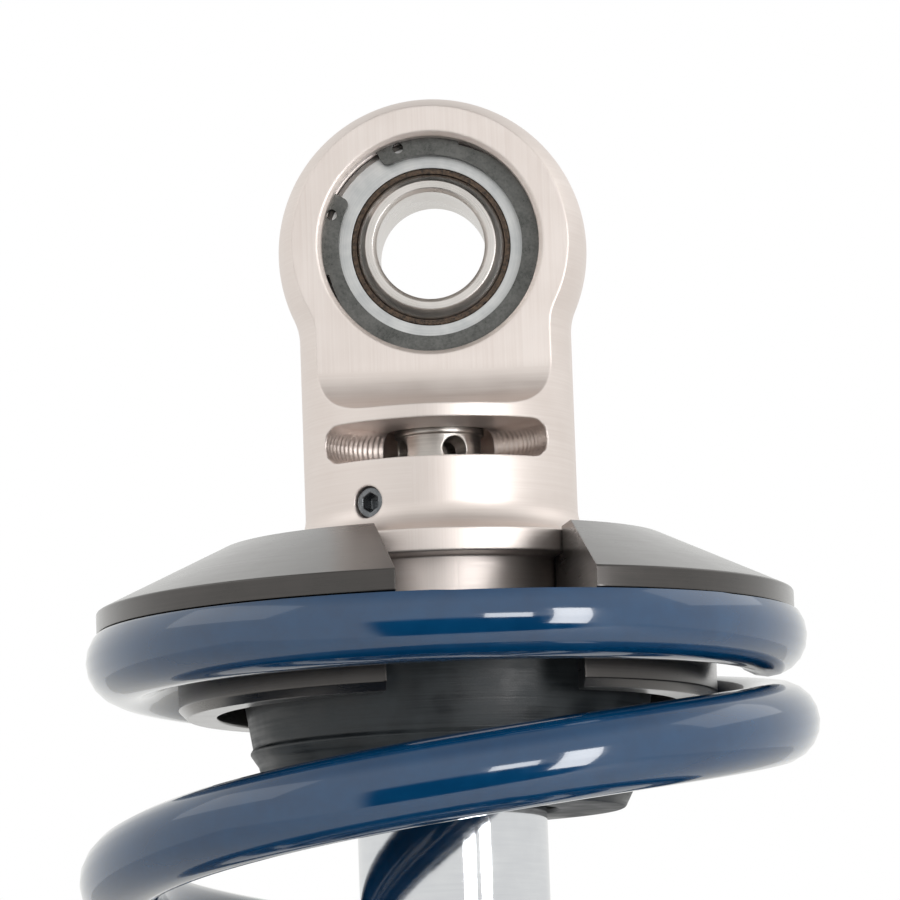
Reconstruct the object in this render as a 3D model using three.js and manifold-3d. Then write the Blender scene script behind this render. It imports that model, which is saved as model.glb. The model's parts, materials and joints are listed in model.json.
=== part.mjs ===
// Coil-over damper strut: a mono-tube damper with a spherical bearing in each eye, a C-shaped upper
// spring seat, a ground coil spring, a bump rubber and a threaded preload collar.
// Millimetres. The origin is the centre of the lower bearing, +Z runs up the strut and the bearing
// bores run along Y. The strut is drawn fully extended, with the spring just seated.
import * as THREE from 'three';
import { mergeVertices } from 'three/addons/utils/BufferGeometryUtils.js';
import Module from 'manifold-3d';

const wasm = await Module();
wasm.setup();

// ---------------------------------------------------------------- overall
const EXTENDED_LENGTH = 270;         // between the bearing centres
const STROKE = 47;                   // travel of the shaft into the body
const SEAT_GAP = 0.1;                // between pieces that seat or press on each other
const RUN_GAP = 0.2;                 // radial, between pieces that turn or slide on each other
const THREAD_GAP = 0.3;              // radial, between pieces that screw together

// ---------------------------------------------------------------- spherical bearings
const BEARING_BORE = 12.7;           // half-inch bolt
const BALL_DIAMETER = 19.84;
const BALL_WIDTH = 12.7;
const BALL_CHAMFER = 0.25;
const LINER_GAP = 0.09;              // between ball and liner
const LINER_THICKNESS = 0.46;
const RACE_DIAMETER = 25.4;
const RACE_WIDTH = 9.9;
const RACE_CHAMFER = 0.5;
const CLIP_THICKNESS = 1.07;         // retaining rings beside the race
const CLIP_GROOVE_DEPTH = 0.7;
const CLIP_WIDTH = 2.5;              // radial
const CLIP_RELIEF = 0.85;            // how far the outer edge stands back beside a lug
const CLIP_RELIEF_ANGLE = 50;        // degrees over which it comes back out
const CLIP_LUG_ANGLE = 44;           // degrees of ring that each lug takes
const CLIP_LUG_CORNER = 0.9;         // bevel at the inner corner of a lug's end
const CLIP_GAP_ANGLE = 31;           // degrees between the two lugs
const CLIP_GAP_CENTRE = 133.5;       // degrees from +X towards +Z
const CLIP_HOLE_DIAMETER = 1.25;
const CLIP_HOLE_CIRCLE = 12.2;       // radius on which the two holes lie
const CLIP_HOLE_ANGLE = 11.5;        // degrees from the lug's end

// ---------------------------------------------------------------- eyes
const EYE_RADIUS = 18.2;
const NECK_RADIUS = 16;
const NECK_FILLET = 7;
const FLAT_DISTANCE = 8.25;          // from the centre plane to each milled flat
const FLAT_LENGTH = 20;              // from the bearing centre to the end of the flat
const FLAT_RAMP_RADIUS = 6;
const EYE_MOUTH_CHAMFER = 0.5;

// ---------------------------------------------------------------- upper eyelet
const WINDOW_TOP = 21.6;             // below the bearing centre
const WINDOW_HEIGHT = 4.5;
const WINDOW_CUTTER_RADIUS = 14;
const WINDOW_CUTTER_OFFSET = 14.5;   // cutter axis in front of the strut's axis
const ADJUSTER_BORE = 13.7;
const ADJUSTER_BORE_HEADROOM = 1;    // above the window
const FLANGE_RADIUS = 20.3;
const FLANGE_DEPTH = 34.9;           // bearing centre to the flange's top
const FLANGE_HEIGHT = 2.8;
const FLARE_RADIUS = 3.6;
const SPIGOT_RADIUS = 15.9;
const EYELET_LENGTH = 46;            // bearing centre to the end of the spigot
const LOCK_SCREW_DIAMETER = 3.6;
const LOCK_SCREW_DEPTH = 31;         // below the bearing centre
const LOCK_SCREW_ANGLE = -30;        // degrees from the front, towards +X
const LOCK_SCREW_SOCKET = 2;         // across flats
const LOCK_SCREW_RECESS = 0.5;       // head below the eyelet's surface

// ---------------------------------------------------------------- rebound adjuster
const BARREL_DIAMETER = 9.8;
const BARREL_RIM = 0.35;             // how far the top rim stands out
const BARREL_RIM_HEIGHT = 0.85;
const BARREL_TOP = 21.2;             // below the bearing centre
const TOMMY_HOLE_DIAMETER = 3;
const TOMMY_HOLE_DEPTH = 23.9;       // below the bearing centre, to the hole's axis
const TOMMY_HOLE_ANGLE = 24;         // degrees from the front, towards +X
const ADJUSTER_STEM_LENGTH = 10;
const METERING_ROD_DIAMETER = 5.8;
const NEEDLE_DIAMETER = 2.4;
const NEEDLE_LENGTH = 8;
const NEEDLE_REACH = 2;              // of its tip into the jet
const ADJUSTER_TRAVEL = 2.4;         // how far the needle moves

// ---------------------------------------------------------------- shaft
const SHAFT_DIAMETER = 22.225;
const SHAFT_BORE = 6.6;
const STUD_DIAMETER = 15.8;
const STUD_LENGTH = 17.5;
const TENON_DIAMETER = 12.6;
const JET_DIAMETER = 3.6;
const JET_LENGTH = 8;
const PORT_DIAMETER = 2.4;

// ---------------------------------------------------------------- upper spring seat
const SEAT_LAND_RADIUS = 26;
const SEAT_LAND_DEPTH = 34.8;        // bearing centre to the top of the seat
const SEAT_RADIUS = 40.9;
const SEAT_CONE_HEIGHT = 7;
const SEAT_RIM_HEIGHT = 2.5;
const SEAT_SLOT_ANGLE = 10.5;        // degrees from the front, towards +X
const SEAT_SLOT_CLEARANCE = 0.38;    // over the shaft's diameter
const PILOT_RADIUS = 31.55;
const PILOT_HEIGHT = 10.1;
const PILOT_CHAMFER = 1;
const PILOT_RECESS_RADIUS = 27.1;

// ---------------------------------------------------------------- spring
const WIRE_DIAMETER = 9.525;
const SPRING_LENGTH = 152.3;
const END_COIL_RADIUS = 37.5;        // to the middle of the wire
const BODY_COIL_RADIUS = 38.9;
const SPRING_PITCH = 34;
const CLOSED_PITCH = 1.3;            // of the closed end coils
const TIP_DEPTH = 2.55;              // wire centre below the ground face at the tip
const CLOSED_TURNS = 0.5;
const RAMP_TURNS = 0.72;             // over which the pitch opens
const STEPS_PER_TURN = 22;
const WIRE_SIDES = 8;
const LEAST_COIL_GAP = 0.4;
const HALVINGS = 60;                 // in the search for the number of turns

// ---------------------------------------------------------------- bump rubber
const BUMP_RADIUS = 24.3;
const BUMP_LENGTH = 20.3;
const BUMP_SKIRT = 4;                // straight length at the top
const BUMP_WAIST_RADIUS = 23;
const BUMP_BEAD_RADIUS = 23.4;
const BUMP_BEAD_DEPTH = 12.2;        // from the top to the bead
const BUMP_BEAD_HEIGHT = 2;
const BUMP_BEAD_EDGE = 0.5;          // height of the bead's upper slope
const BUMP_END_RADIUS = 20.3;
const BUMP_END_CHAMFER = 2;
const BUMP_BORE_GAP = 0.3;           // round the shaft
const BUMP_MOUTH_RADIUS = 12.3;
const BUMP_MOUTH_LENGTH = 3;

// ---------------------------------------------------------------- damper body
const BODY_DIAMETER = 50.8;
const BODY_BORE = 46;
const BODY_LENGTH = 125.7;
const THREAD_RELIEF = 0.5;           // radial, above the thread
const THREAD_PITCH = 3;
const THREAD_TURNS = 24;             // drawn as grooves, one for each turn
const THREAD_DEPTH = 0.8;
const BODY_CHAMFER = 0.8;

// ---------------------------------------------------------------- seal head
const HEAD_RECESS = 4.8;             // body's end above the head's shoulder
const HEAD_HEIGHT = 10.2;
const HEAD_BOSS_RADIUS = 19;
const HEAD_BOSS_HEIGHT = 2.8;
const HEAD_THROAT_GAP = 0.4;
const BUSH_WALL = 1.3;
const BUSH_LENGTH = 5;
const HEAD_FLOOR = 1.5;              // below the bush
const SEAL_WALL = 3.3;
const SEAL_HEIGHT = 2.7;
const WIPER_WALL = 3.9;
const WIPER_HEIGHT = 3.6;
const WIPER_LIP = 1.2;
const HEAD_CLIP_WIDTH = 3.5;
const HEAD_CLIP_THICKNESS = 1.6;
const HEAD_CLIP_GROOVE_DEPTH = 1.1;
const HEAD_CLIP_GAP = 7;             // between its ends
const HEAD_CLIP_GAP_ANGLE = 60;      // degrees from +X
const ORING_SECTION = 2.4;
const ORING_GROOVE_DEPTH = 2.5;

// ---------------------------------------------------------------- piston stack, below the shaft's shoulder
const SHOULDER_BELOW_HEAD = 5;
const BUMPER_HEIGHT = 2.1;
const BUMPER_RADIUS = 15;
const STACK_WASHER_HEIGHT = 3.2;
const STACK_WASHER_RADIUS = 14;
const SHIM_STEPS = 4;
const SHIM_THICKNESS = 0.5;
const SHIM_RADIUS = 19;
const SHIM_TAPER = 2.4;              // radius lost from one shim to the next
const PISTON_HEIGHT = 14.2;
const PISTON_GAP = 0.25;             // radial, to the body's bore
const PISTON_BAND_HEIGHT = 6;
const PISTON_BAND_DEPTH = 1.2;
const PISTON_CHAMFER = 1;
const PISTON_PORTS = 6;
const PISTON_PORT_DIAMETER = 4.4;
const PISTON_PORT_CIRCLE = 31;
const NUT_ACROSS_FLATS = 19;
const NUT_HEIGHT = 7.6;
const TENON_BELOW_NUT = 1;

// ---------------------------------------------------------------- floating piston
const FLOATING_HEIGHT = 12;
const FLOATING_DISH_RADIUS = 14;
const FLOATING_DISH_DEPTH = 7;
const FLOATING_DISH_DRAFT = 2;
const FLOATING_CLEARANCE = 4;        // left to the shaft's end at full travel

// ---------------------------------------------------------------- preload collar and lower seat
const LOWER_SEAT_RADIUS = 41;
const LOWER_SEAT_HEIGHT = 3.5;
const LOWER_PILOT_HEIGHT = 8;
const LOWER_PILOT_WALL = 4;
const THRUST_WASHER_HEIGHT = 1.5;
const THRUST_WASHER_RADIUS = 36;
const COLLAR_RADIUS = 38;
const COLLAR_HEIGHT = 13;
const COLLAR_CHAMFER = 1;
const COLLAR_GROOVE_DEPTH = 1.5;
const COLLAR_GROOVE_HEIGHT = 3;
const COLLAR_NOTCHES = 6;
const COLLAR_NOTCH_WIDTH = 9;
const COLLAR_NOTCH_DEPTH = 4;
const COLLAR_SCREW_DIAMETER = 5;
const COLLAR_SCREW_ANGLE = 30;       // degrees from +X, half way between two notches
const COLLAR_SCREW_SOCKET = 2.5;

// ---------------------------------------------------------------- lower eye cap and gas valve
const CAP_LENGTH = 29.2;             // lower bearing centre to the shoulder under the body
const CAP_SPIGOT_LENGTH = 7.7;
const CAP_SHOULDER_HEIGHT = 9;
const CAP_FLARE_RADIUS = 6;
const VALVE_DIAMETER = 7.8;
const VALVE_LENGTH = 11;
const VALVE_ANGLE = 180;             // degrees from +X
const VALVE_STEM_DIAMETER = 5;
const VALVE_CAP_DIAMETER = 7.4;
const VALVE_CAP_LENGTH = 6;
const VALVE_CAP_WALL = 1;
const VALVE_CORE_DIAMETER = 1.7;
const GAS_PASSAGE_DIAMETER = 2.5;

// ---------------------------------------------------------------- fineness of the round forms
const EYE_SEGMENTS = 30;             // eyes, seats and collar
const BODY_SEGMENTS = 20;            // body, shaft and what fits them closely
const BEARING_SEGMENTS = 24;
const INNER_SEGMENTS = 14;
const SMALL_SEGMENTS = 12;
const SPHERE_STEPS = 3;
const CLIP_STEP = 16;                // degrees
const CLIP_HOLE_STEPS = 6;
const EYE_STEPS = 7;                 // from the crown to the neck's fillet
const RAMP_STEPS = 4;
const FLARE_STEPS = 3;
const FILLET_STEPS = 2;              // between a ball and its neck
const RING_STEPS = 4;                // round an O-ring's section
const PORT_SEGMENTS = 8;
const OVERCUT = 1;                   // how far a cutter runs past a face

// ---------------------------------------------------------------- sizes worked out from the above
const shaftRadius = SHAFT_DIAMETER / 2;
const bodyRadius = BODY_DIAMETER / 2;
const boreRadius = BODY_BORE / 2;
const ballRadius = BALL_DIAMETER / 2;
const raceRadius = RACE_DIAMETER / 2;
const wireRadius = WIRE_DIAMETER / 2;
const housingRadius = raceRadius + SEAT_GAP / 2;
const clipStart = RACE_WIDTH / 2 + SEAT_GAP;
const clipRadius = housingRadius + CLIP_GROOVE_DEPTH - 2 * SEAT_GAP;
const flangeBottom = -(FLANGE_DEPTH + FLANGE_HEIGHT);
const seatUnderside = -(SEAT_LAND_DEPTH + SEAT_CONE_HEIGHT + SEAT_RIM_HEIGHT);
const pilotBottom = seatUnderside - PILOT_HEIGHT;
const springTop = EXTENDED_LENGTH + seatUnderside - SEAT_GAP;
const springBottom = springTop - SPRING_LENGTH;
const shaftTop = EXTENDED_LENGTH - EYELET_LENGTH - SEAT_GAP;
const bodyBottom = CAP_LENGTH + SEAT_GAP;
const bodyTop = bodyBottom + BODY_LENGTH;
const headShoulder = bodyTop - HEAD_RECESS;
const headBottom = headShoulder - HEAD_HEIGHT;
const stackTop = headBottom - SHOULDER_BELOW_HEAD;
const shimHeight = SHIM_STEPS * SHIM_THICKNESS;
const upperShimTop = stackTop - STACK_WASHER_HEIGHT - 2 * SEAT_GAP;
const pistonTop = upperShimTop - shimHeight - SEAT_GAP;
const lowerShimTop = pistonTop - PISTON_HEIGHT - SEAT_GAP;
const lowerWasherTop = lowerShimTop - shimHeight - SEAT_GAP;
const nutTop = lowerWasherTop - STACK_WASHER_HEIGHT / 2 - SEAT_GAP;
const shaftBottom = nutTop - NUT_HEIGHT - TENON_BELOW_NUT;
const floatingTravel = STROKE * (SHAFT_DIAMETER / BODY_BORE) ** 2;
const floatingTop = shaftBottom - STROKE - FLOATING_CLEARANCE + floatingTravel;
const pistonRadius = boreRadius - PISTON_GAP;
const stemBottom = -(EYELET_LENGTH - STUD_LENGTH) - ADJUSTER_STEM_LENGTH;

// ---------------------------------------------------------------- geometry helpers
const radians = (degrees) => THREE.MathUtils.degToRad(degrees);

/** Point of a profile's plane at a radius and an angle in degrees about the origin. */
function polar(radius, angle) {
  return [radius * Math.cos(radians(angle)), radius * Math.sin(radians(angle))];
}

/** Points of an arc in a profile's plane, both ends included. Angles are in degrees. */
function arc(x, y, radius, from, to, steps) {
  const points = [];
  for (let i = 0; i <= steps; i += 1) {
    const [dx, dy] = polar(radius, from + ((to - from) * i) / steps);
    points.push([x + dx, y + dy]);
  }
  return points;
}

function vectors(points) {
  return points.map(([x, y]) => new THREE.Vector2(x, y));
}

/** Six times the volume that the triangles enclose, positive where they face outwards. */
function enclosed(vertices, triangles) {
  let sum = 0;
  const [a, b, c] = [new THREE.Vector3(), new THREE.Vector3(), new THREE.Vector3()];
  for (let i = 0; i < triangles.length; i += 3) {
    a.fromArray(vertices, triangles[i] * 3);
    b.fromArray(vertices, triangles[i + 1] * 3);
    c.fromArray(vertices, triangles[i + 2] * 3);
    sum += a.dot(b.cross(c));
  }
  return sum;
}

/** The closed solid that a geometry's triangles bound, with its faces turned outwards. */
function solidOf(geometry) {
  geometry.deleteAttribute('normal');
  geometry.deleteAttribute('uv');
  const merged = mergeVertices(geometry);
  const vertices = new Float32Array(merged.attributes.position.array);
  const index = merged.index.array;
  const triangles = [];
  for (let i = 0; i < index.length; i += 3) {
    const [a, b, c] = [index[i], index[i + 1], index[i + 2]];
    if (a !== b && b !== c && c !== a) triangles.push(a, b, c);
  }
  if (enclosed(vertices, triangles) < 0) triangles.reverse();
  const triVerts = new Uint32Array(triangles);
  return new wasm.Manifold(new wasm.Mesh({ numProp: 3, vertProperties: vertices, triVerts }));
}

/** A solid turned about Z. The profile is (radius, z): from axis to axis, or a loop if closed. */
function turned(profile, segments, closed = false) {
  const points = closed ? [...profile, profile[0]] : profile;
  return solidOf(new THREE.LatheGeometry(vectors(points), segments).rotateX(Math.PI / 2));
}

/** A solid turned about Y. The profile is (radius, y). */
function turnedAboutY(profile, segments, closed = false) {
  const points = closed ? [...profile, profile[0]] : profile;
  return solidOf(new THREE.LatheGeometry(vectors(points), segments));
}

/** A ring of rectangular section about Z. */
function ring(inner, outer, low, high, segments) {
  return turned([[inner, low], [outer, low], [outer, high], [inner, high]], segments, true);
}

/** A cylinder about the X direction turned by an angle about Z, from one radius to another. */
function radialPin(radius, inner, outer, angle, height) {
  const length = outer - inner;
  const pin = new THREE.CylinderGeometry(radius, radius, length, SMALL_SEGMENTS);
  pin.rotateZ(-Math.PI / 2).translate(inner + length / 2, 0, height).rotateZ(radians(angle));
  return solidOf(pin);
}

/** A block given by its lowest and highest corners, turned about Z afterwards. */
function block(low, high, angle = 0) {
  const size = high.map((value, axis) => value - low[axis]);
  const centre = high.map((value, axis) => (value + low[axis]) / 2);
  const box = new THREE.BoxGeometry(...size).translate(...centre);
  return solidOf(box.rotateZ(radians(angle)));
}

function meshOf(name, solid, material) {
  const { vertProperties, triVerts } = solid.getMesh();
  const geometry = new THREE.BufferGeometry();
  geometry.setAttribute('position', new THREE.BufferAttribute(vertProperties, 3));
  geometry.setIndex(new THREE.BufferAttribute(triVerts, 1));
  geometry.computeVertexNormals();
  const mesh = new THREE.Mesh(geometry, material);
  mesh.name = name;
  return mesh;
}

// ---------------------------------------------------------------- materials
const finish = (color, roughness, metalness) =>
  new THREE.MeshStandardMaterial({ color, roughness, metalness });
const satinAnodised = finish(0xc9bfb3, 0.4, 1);
const gunmetalAnodised = finish(0x5e5858, 0.45, 0.8);
const blueCoat = finish(0x1f3f68, 0.25, 0);
const hardChrome = finish(0xd5d8dc, 0.1, 1);
const polishedSteel = finish(0xc8c8c6, 0.2, 1);
const blackPhosphate = finish(0x2c2e30, 0.55, 0.6);
const blackOxide = finish(0x201f1e, 0.4, 0.7);
const wovenLiner = finish(0x2a2320, 0.9, 0);
const blackRubber = finish(0x1b1b1c, 0.8, 0);
const clearAnodised = finish(0xb4b6b8, 0.35, 1);
const bronze = finish(0x9c7240, 0.4, 1);
const blackNylon = finish(0x17181a, 0.6, 0);

// ---------------------------------------------------------------- spherical bearing
// Ball, liner and race share the angles of their facets, so the gaps between them stay even.
const lipAngle = THREE.MathUtils.radToDeg(Math.asin(RACE_WIDTH / 2 / ballRadius));

/** The band of a sphere under the race, cut off square at the race's faces. */
function band(radius) {
  const half = RACE_WIDTH / 2;
  const edge = Math.sqrt(radius ** 2 - half ** 2);
  const inside = arc(0, 0, radius, -lipAngle, lipAngle, SPHERE_STEPS).slice(1, -1);
  return [[edge, -half], ...inside, [edge, half]];
}

function bearingBall() {
  const bore = BEARING_BORE / 2;
  const half = BALL_WIDTH / 2;
  const faceRadius = Math.sqrt(ballRadius ** 2 - half ** 2);
  const profile = [[faceRadius, -half], ...arc(0, 0, ballRadius, -lipAngle, lipAngle, SPHERE_STEPS),
    [faceRadius, half], [bore + BALL_CHAMFER, half], [bore, half - BALL_CHAMFER],
    [bore, BALL_CHAMFER - half], [bore + BALL_CHAMFER, -half]];
  return turnedAboutY(profile, BEARING_SEGMENTS, true);
}

function bearingLiner() {
  const inner = ballRadius + LINER_GAP;
  const profile = [...band(inner + LINER_THICKNESS), ...band(inner).reverse()];
  return turnedAboutY(profile, BEARING_SEGMENTS, true);
}

function bearingRace() {
  const half = RACE_WIDTH / 2;
  const inner = ballRadius + LINER_GAP + LINER_THICKNESS + SEAT_GAP / 2;
  const profile = [[raceRadius - RACE_CHAMFER, -half], [raceRadius, RACE_CHAMFER - half],
    [raceRadius, half - RACE_CHAMFER], [raceRadius - RACE_CHAMFER, half], ...band(inner).reverse()];
  return turnedAboutY(profile, BEARING_SEGMENTS, true);
}

/** Internal retaining ring that lies in front of the race, with its two eared lugs. */
function retainingRing() {
  const start = CLIP_GAP_CENTRE + CLIP_GAP_ANGLE / 2;
  const end = 360 + CLIP_GAP_CENTRE - CLIP_GAP_ANGLE / 2;
  const lugEnd = start + CLIP_LUG_ANGLE;
  const lugStart = end - CLIP_LUG_ANGLE;
  const inner = clipRadius - CLIP_WIDTH;
  const corner = THREE.MathUtils.radToDeg(CLIP_LUG_CORNER / inner);
  const bevelled = inner + CLIP_LUG_CORNER;
  const lugSteps = Math.ceil(CLIP_LUG_ANGLE / CLIP_STEP);
  const fullFrom = lugEnd + CLIP_RELIEF_ANGLE;
  const fullTo = lugStart - CLIP_RELIEF_ANGLE;
  const relieved = clipRadius - CLIP_RELIEF;
  const outline = [
    ...arc(0, 0, clipRadius, start, lugEnd, lugSteps),
    ...arc(0, 0, relieved, lugEnd, lugEnd + CLIP_STEP, 1),
    ...arc(0, 0, clipRadius, fullFrom, fullTo, Math.ceil((fullTo - fullFrom) / CLIP_STEP)),
    ...arc(0, 0, relieved, lugStart - CLIP_STEP, lugStart, 1),
    ...arc(0, 0, clipRadius, lugStart, end, lugSteps),
    polar(bevelled, end),
    ...arc(0, 0, inner, end - corner, start + corner, Math.ceil((end - start) / CLIP_STEP)),
    polar(bevelled, start)];
  const shape = new THREE.Shape(vectors(outline));
  for (const angle of [start + CLIP_HOLE_ANGLE, end - CLIP_HOLE_ANGLE]) {
    const [x, y] = polar(CLIP_HOLE_CIRCLE, angle);
    const hole = arc(x, y, CLIP_HOLE_DIAMETER / 2, 0, 360, CLIP_HOLE_STEPS).slice(0, -1);
    shape.holes.push(new THREE.Path(vectors(hole)));
  }
  const settings = { depth: CLIP_THICKNESS, bevelEnabled: false };
  const geometry = new THREE.ExtrudeGeometry(shape, settings).rotateX(Math.PI / 2);
  return solidOf(geometry.translate(0, -clipStart, 0));
}

function bearingAt(group, end) {
  group.add(meshOf(`${end}_bearing_ball`, bearingBall(), polishedSteel));
  group.add(meshOf(`${end}_bearing_liner`, bearingLiner(), wovenLiner));
  group.add(meshOf(`${end}_bearing_race`, bearingRace(), polishedSteel));
  group.add(meshOf(`${end}_retaining_ring_front`, retainingRing(), blackPhosphate));
  const rear = meshOf(`${end}_retaining_ring_rear`, retainingRing(), blackPhosphate);
  rear.rotation.z = Math.PI;
  group.add(rear);
}

// ---------------------------------------------------------------- eye, shared by both ends
/** Ball of the eye and the fillet into its neck, from the crown down to the neck's radius. */
function eyeProfile() {
  const centreRadius = NECK_RADIUS + NECK_FILLET;
  const centreDepth = Math.sqrt((EYE_RADIUS + NECK_FILLET) ** 2 - centreRadius ** 2);
  const tangent = THREE.MathUtils.radToDeg(Math.atan2(centreDepth, centreRadius));
  return [[0, EYE_RADIUS], ...arc(0, 0, EYE_RADIUS, 90, -tangent, EYE_STEPS).slice(1),
    ...arc(centreRadius, -centreDepth, NECK_FILLET, 180 - tangent, 180, FILLET_STEPS).slice(1)];
}

/**
 * The metal that one milled flat leaves out, with the round ramp in which the flat runs out.
 * side is -1 in front and 1 behind; up is 1 where the neck runs down from the ball, or else -1.
 */
function flatCutter(side, up) {
  const far = EYE_RADIUS + OVERCUT;
  const ramp = arc(FLAT_DISTANCE + FLAT_RAMP_RADIUS, FLAT_RAMP_RADIUS - FLAT_LENGTH,
    FLAT_RAMP_RADIUS, 180, 270, RAMP_STEPS);
  const outline = [[FLAT_DISTANCE, far], ...ramp, [far, -FLAT_LENGTH], [far, far]];
  const shape = new THREE.Shape(vectors(outline.map(([y, z]) => [side * y, up * z])));
  const geometry = new THREE.ExtrudeGeometry(shape, { depth: 2 * far, bevelEnabled: false });
  const basis = new THREE.Matrix4().makeBasis(
    new THREE.Vector3(0, 1, 0), new THREE.Vector3(0, 0, 1), new THREE.Vector3(1, 0, 0));
  return solidOf(geometry.translate(0, 0, -far).applyMatrix4(basis));
}

/** The bearing's seat, with a groove for each retaining ring and a chamfer at each mouth. */
function housingCutter() {
  const grooveRadius = housingRadius + CLIP_GROOVE_DEPTH;
  const grooveStart = clipStart - SEAT_GAP / 2;
  const grooveEnd = clipStart + CLIP_THICKNESS + SEAT_GAP;
  const mouth = FLAT_DISTANCE - EYE_MOUTH_CHAMFER;
  const outside = FLAT_DISTANCE + OVERCUT;
  const half = [[housingRadius, grooveStart], [grooveRadius, grooveStart], [grooveRadius, grooveEnd],
    [housingRadius, grooveEnd], [housingRadius, mouth],
    [housingRadius + EYE_MOUTH_CHAMFER + OVERCUT, outside], [0, outside]];
  const mirrored = half.map(([radius, y]) => [radius, -y]).reverse();
  return turnedAboutY([...mirrored, ...half], BEARING_SEGMENTS);
}

function milledEye(blank, up) {
  return blank.subtract(flatCutter(-1, up)).subtract(flatCutter(1, up)).subtract(housingCutter());
}

// ---------------------------------------------------------------- upper end, drawn from its bearing centre
function upperEyelet() {
  const flareTop = FLARE_RADIUS - FLANGE_DEPTH;
  const blank = turned([...eyeProfile(),
    ...arc(NECK_RADIUS + FLARE_RADIUS, flareTop, FLARE_RADIUS, 180, 270, FLARE_STEPS),
    [FLANGE_RADIUS, -FLANGE_DEPTH], [FLANGE_RADIUS, flangeBottom], [SPIGOT_RADIUS, flangeBottom],
    [SPIGOT_RADIUS, -EYELET_LENGTH], [0, -EYELET_LENGTH]], EYE_SEGMENTS);
  const halfWindow = WINDOW_HEIGHT / 2;
  const window = new THREE.LatheGeometry(vectors([[0, -halfWindow],
    ...arc(WINDOW_CUTTER_RADIUS - halfWindow, 0, halfWindow, -90, 90, RAMP_STEPS), [0, halfWindow]]),
  EYE_SEGMENTS).rotateX(Math.PI / 2);
  window.translate(0, -WINDOW_CUTTER_OFFSET, -WINDOW_TOP - halfWindow);
  const studBore = STUD_DIAMETER / 2 + SEAT_GAP;
  const boreStep = STUD_LENGTH - EYELET_LENGTH + SEAT_GAP;
  const bore = turned([[0, -EYELET_LENGTH - OVERCUT], [studBore, -EYELET_LENGTH - OVERCUT],
    [studBore, boreStep], [ADJUSTER_BORE / 2, boreStep],
    [ADJUSTER_BORE / 2, ADJUSTER_BORE_HEADROOM - WINDOW_TOP],
    [0, ADJUSTER_BORE_HEADROOM - WINDOW_TOP]], BODY_SEGMENTS);
  const screwHole = radialPin(LOCK_SCREW_DIAMETER / 2 + SEAT_GAP, STUD_DIAMETER / 2 - OVERCUT,
    NECK_RADIUS + OVERCUT, LOCK_SCREW_ANGLE - 90, -LOCK_SCREW_DEPTH);
  return milledEye(blank, 1).subtract(solidOf(window)).subtract(bore).subtract(screwHole);
}

/** Socket set screw along X, its tip at the inner end and its hexagon open at the outer end. */
function setScrew(diameter, socket, inner, outer) {
  const body = radialPin(diameter / 2, inner, outer, 0, 0);
  const hexagon = new THREE.CylinderGeometry(socket / Math.sqrt(3), socket / Math.sqrt(3), diameter, 6);
  hexagon.rotateZ(-Math.PI / 2).translate(outer, 0, 0);
  return body.subtract(solidOf(hexagon));
}

function reboundAdjuster() {
  const radius = BARREL_DIAMETER / 2;
  const stem = SHAFT_BORE / 2 - RUN_GAP;
  const bottom = STUD_LENGTH - EYELET_LENGTH + SEAT_GAP;
  const rimBottom = -BARREL_TOP - BARREL_RIM_HEIGHT;
  let barrel = turned([[0, stemBottom], [stem, stemBottom], [stem, bottom], [radius, bottom],
    [radius, rimBottom], [radius + BARREL_RIM, rimBottom], [radius + BARREL_RIM, -BARREL_TOP],
    [0, -BARREL_TOP]], INNER_SEGMENTS);
  for (const turn of [0, 90]) {
    const angle = TOMMY_HOLE_ANGLE - 90 + turn;
    const reach = radius + BARREL_RIM + OVERCUT;
    barrel = barrel.subtract(
      radialPin(TOMMY_HOLE_DIAMETER / 2, -reach, reach, angle, -TOMMY_HOLE_DEPTH));
  }
  return barrel;
}

function upperSpringSeat() {
  const counterbore = flangeBottom - SEAT_GAP;
  const recessTop = -EYELET_LENGTH + SEAT_GAP;
  const bore = SPIGOT_RADIUS + RUN_GAP;
  const whole = turned([[bore, counterbore], [FLANGE_RADIUS + RUN_GAP, counterbore],
    [FLANGE_RADIUS + RUN_GAP, -SEAT_LAND_DEPTH], [SEAT_LAND_RADIUS, -SEAT_LAND_DEPTH],
    [SEAT_RADIUS, -SEAT_LAND_DEPTH - SEAT_CONE_HEIGHT], [SEAT_RADIUS, seatUnderside],
    [PILOT_RADIUS, seatUnderside], [PILOT_RADIUS, pilotBottom + PILOT_CHAMFER],
    [PILOT_RADIUS - PILOT_CHAMFER, pilotBottom], [PILOT_RECESS_RADIUS, pilotBottom],
    [PILOT_RECESS_RADIUS, recessTop], [bore, recessTop]], EYE_SEGMENTS, true);
  const half = (SHAFT_DIAMETER + SEAT_SLOT_CLEARANCE) / 2;
  const slot = block([-half, -SEAT_RADIUS - OVERCUT, pilotBottom - OVERCUT],
    [half, 0, OVERCUT - SEAT_LAND_DEPTH], SEAT_SLOT_ANGLE);
  return whole.subtract(slot);
}

function bumpRubber() {
  const top = -EYELET_LENGTH;
  const bottom = top - BUMP_LENGTH;
  const bore = shaftRadius + BUMP_BORE_GAP;
  const beadTop = top - BUMP_BEAD_DEPTH;
  const profile = [[bore, top], [BUMP_RADIUS, top], [BUMP_RADIUS, top - BUMP_SKIRT],
    [BUMP_WAIST_RADIUS, beadTop], [BUMP_BEAD_RADIUS, beadTop - BUMP_BEAD_EDGE],
    [BUMP_BEAD_RADIUS - BUMP_END_CHAMFER / 2, beadTop - BUMP_BEAD_HEIGHT],
    [BUMP_END_RADIUS + BUMP_END_CHAMFER / 2, bottom + BUMP_END_CHAMFER], [BUMP_END_RADIUS, bottom],
    [BUMP_MOUTH_RADIUS, bottom], [BUMP_MOUTH_RADIUS, bottom + BUMP_MOUTH_LENGTH],
    [bore, bottom + 2 * BUMP_MOUTH_LENGTH]];
  return turned(profile, BODY_SEGMENTS, true);
}

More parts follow.
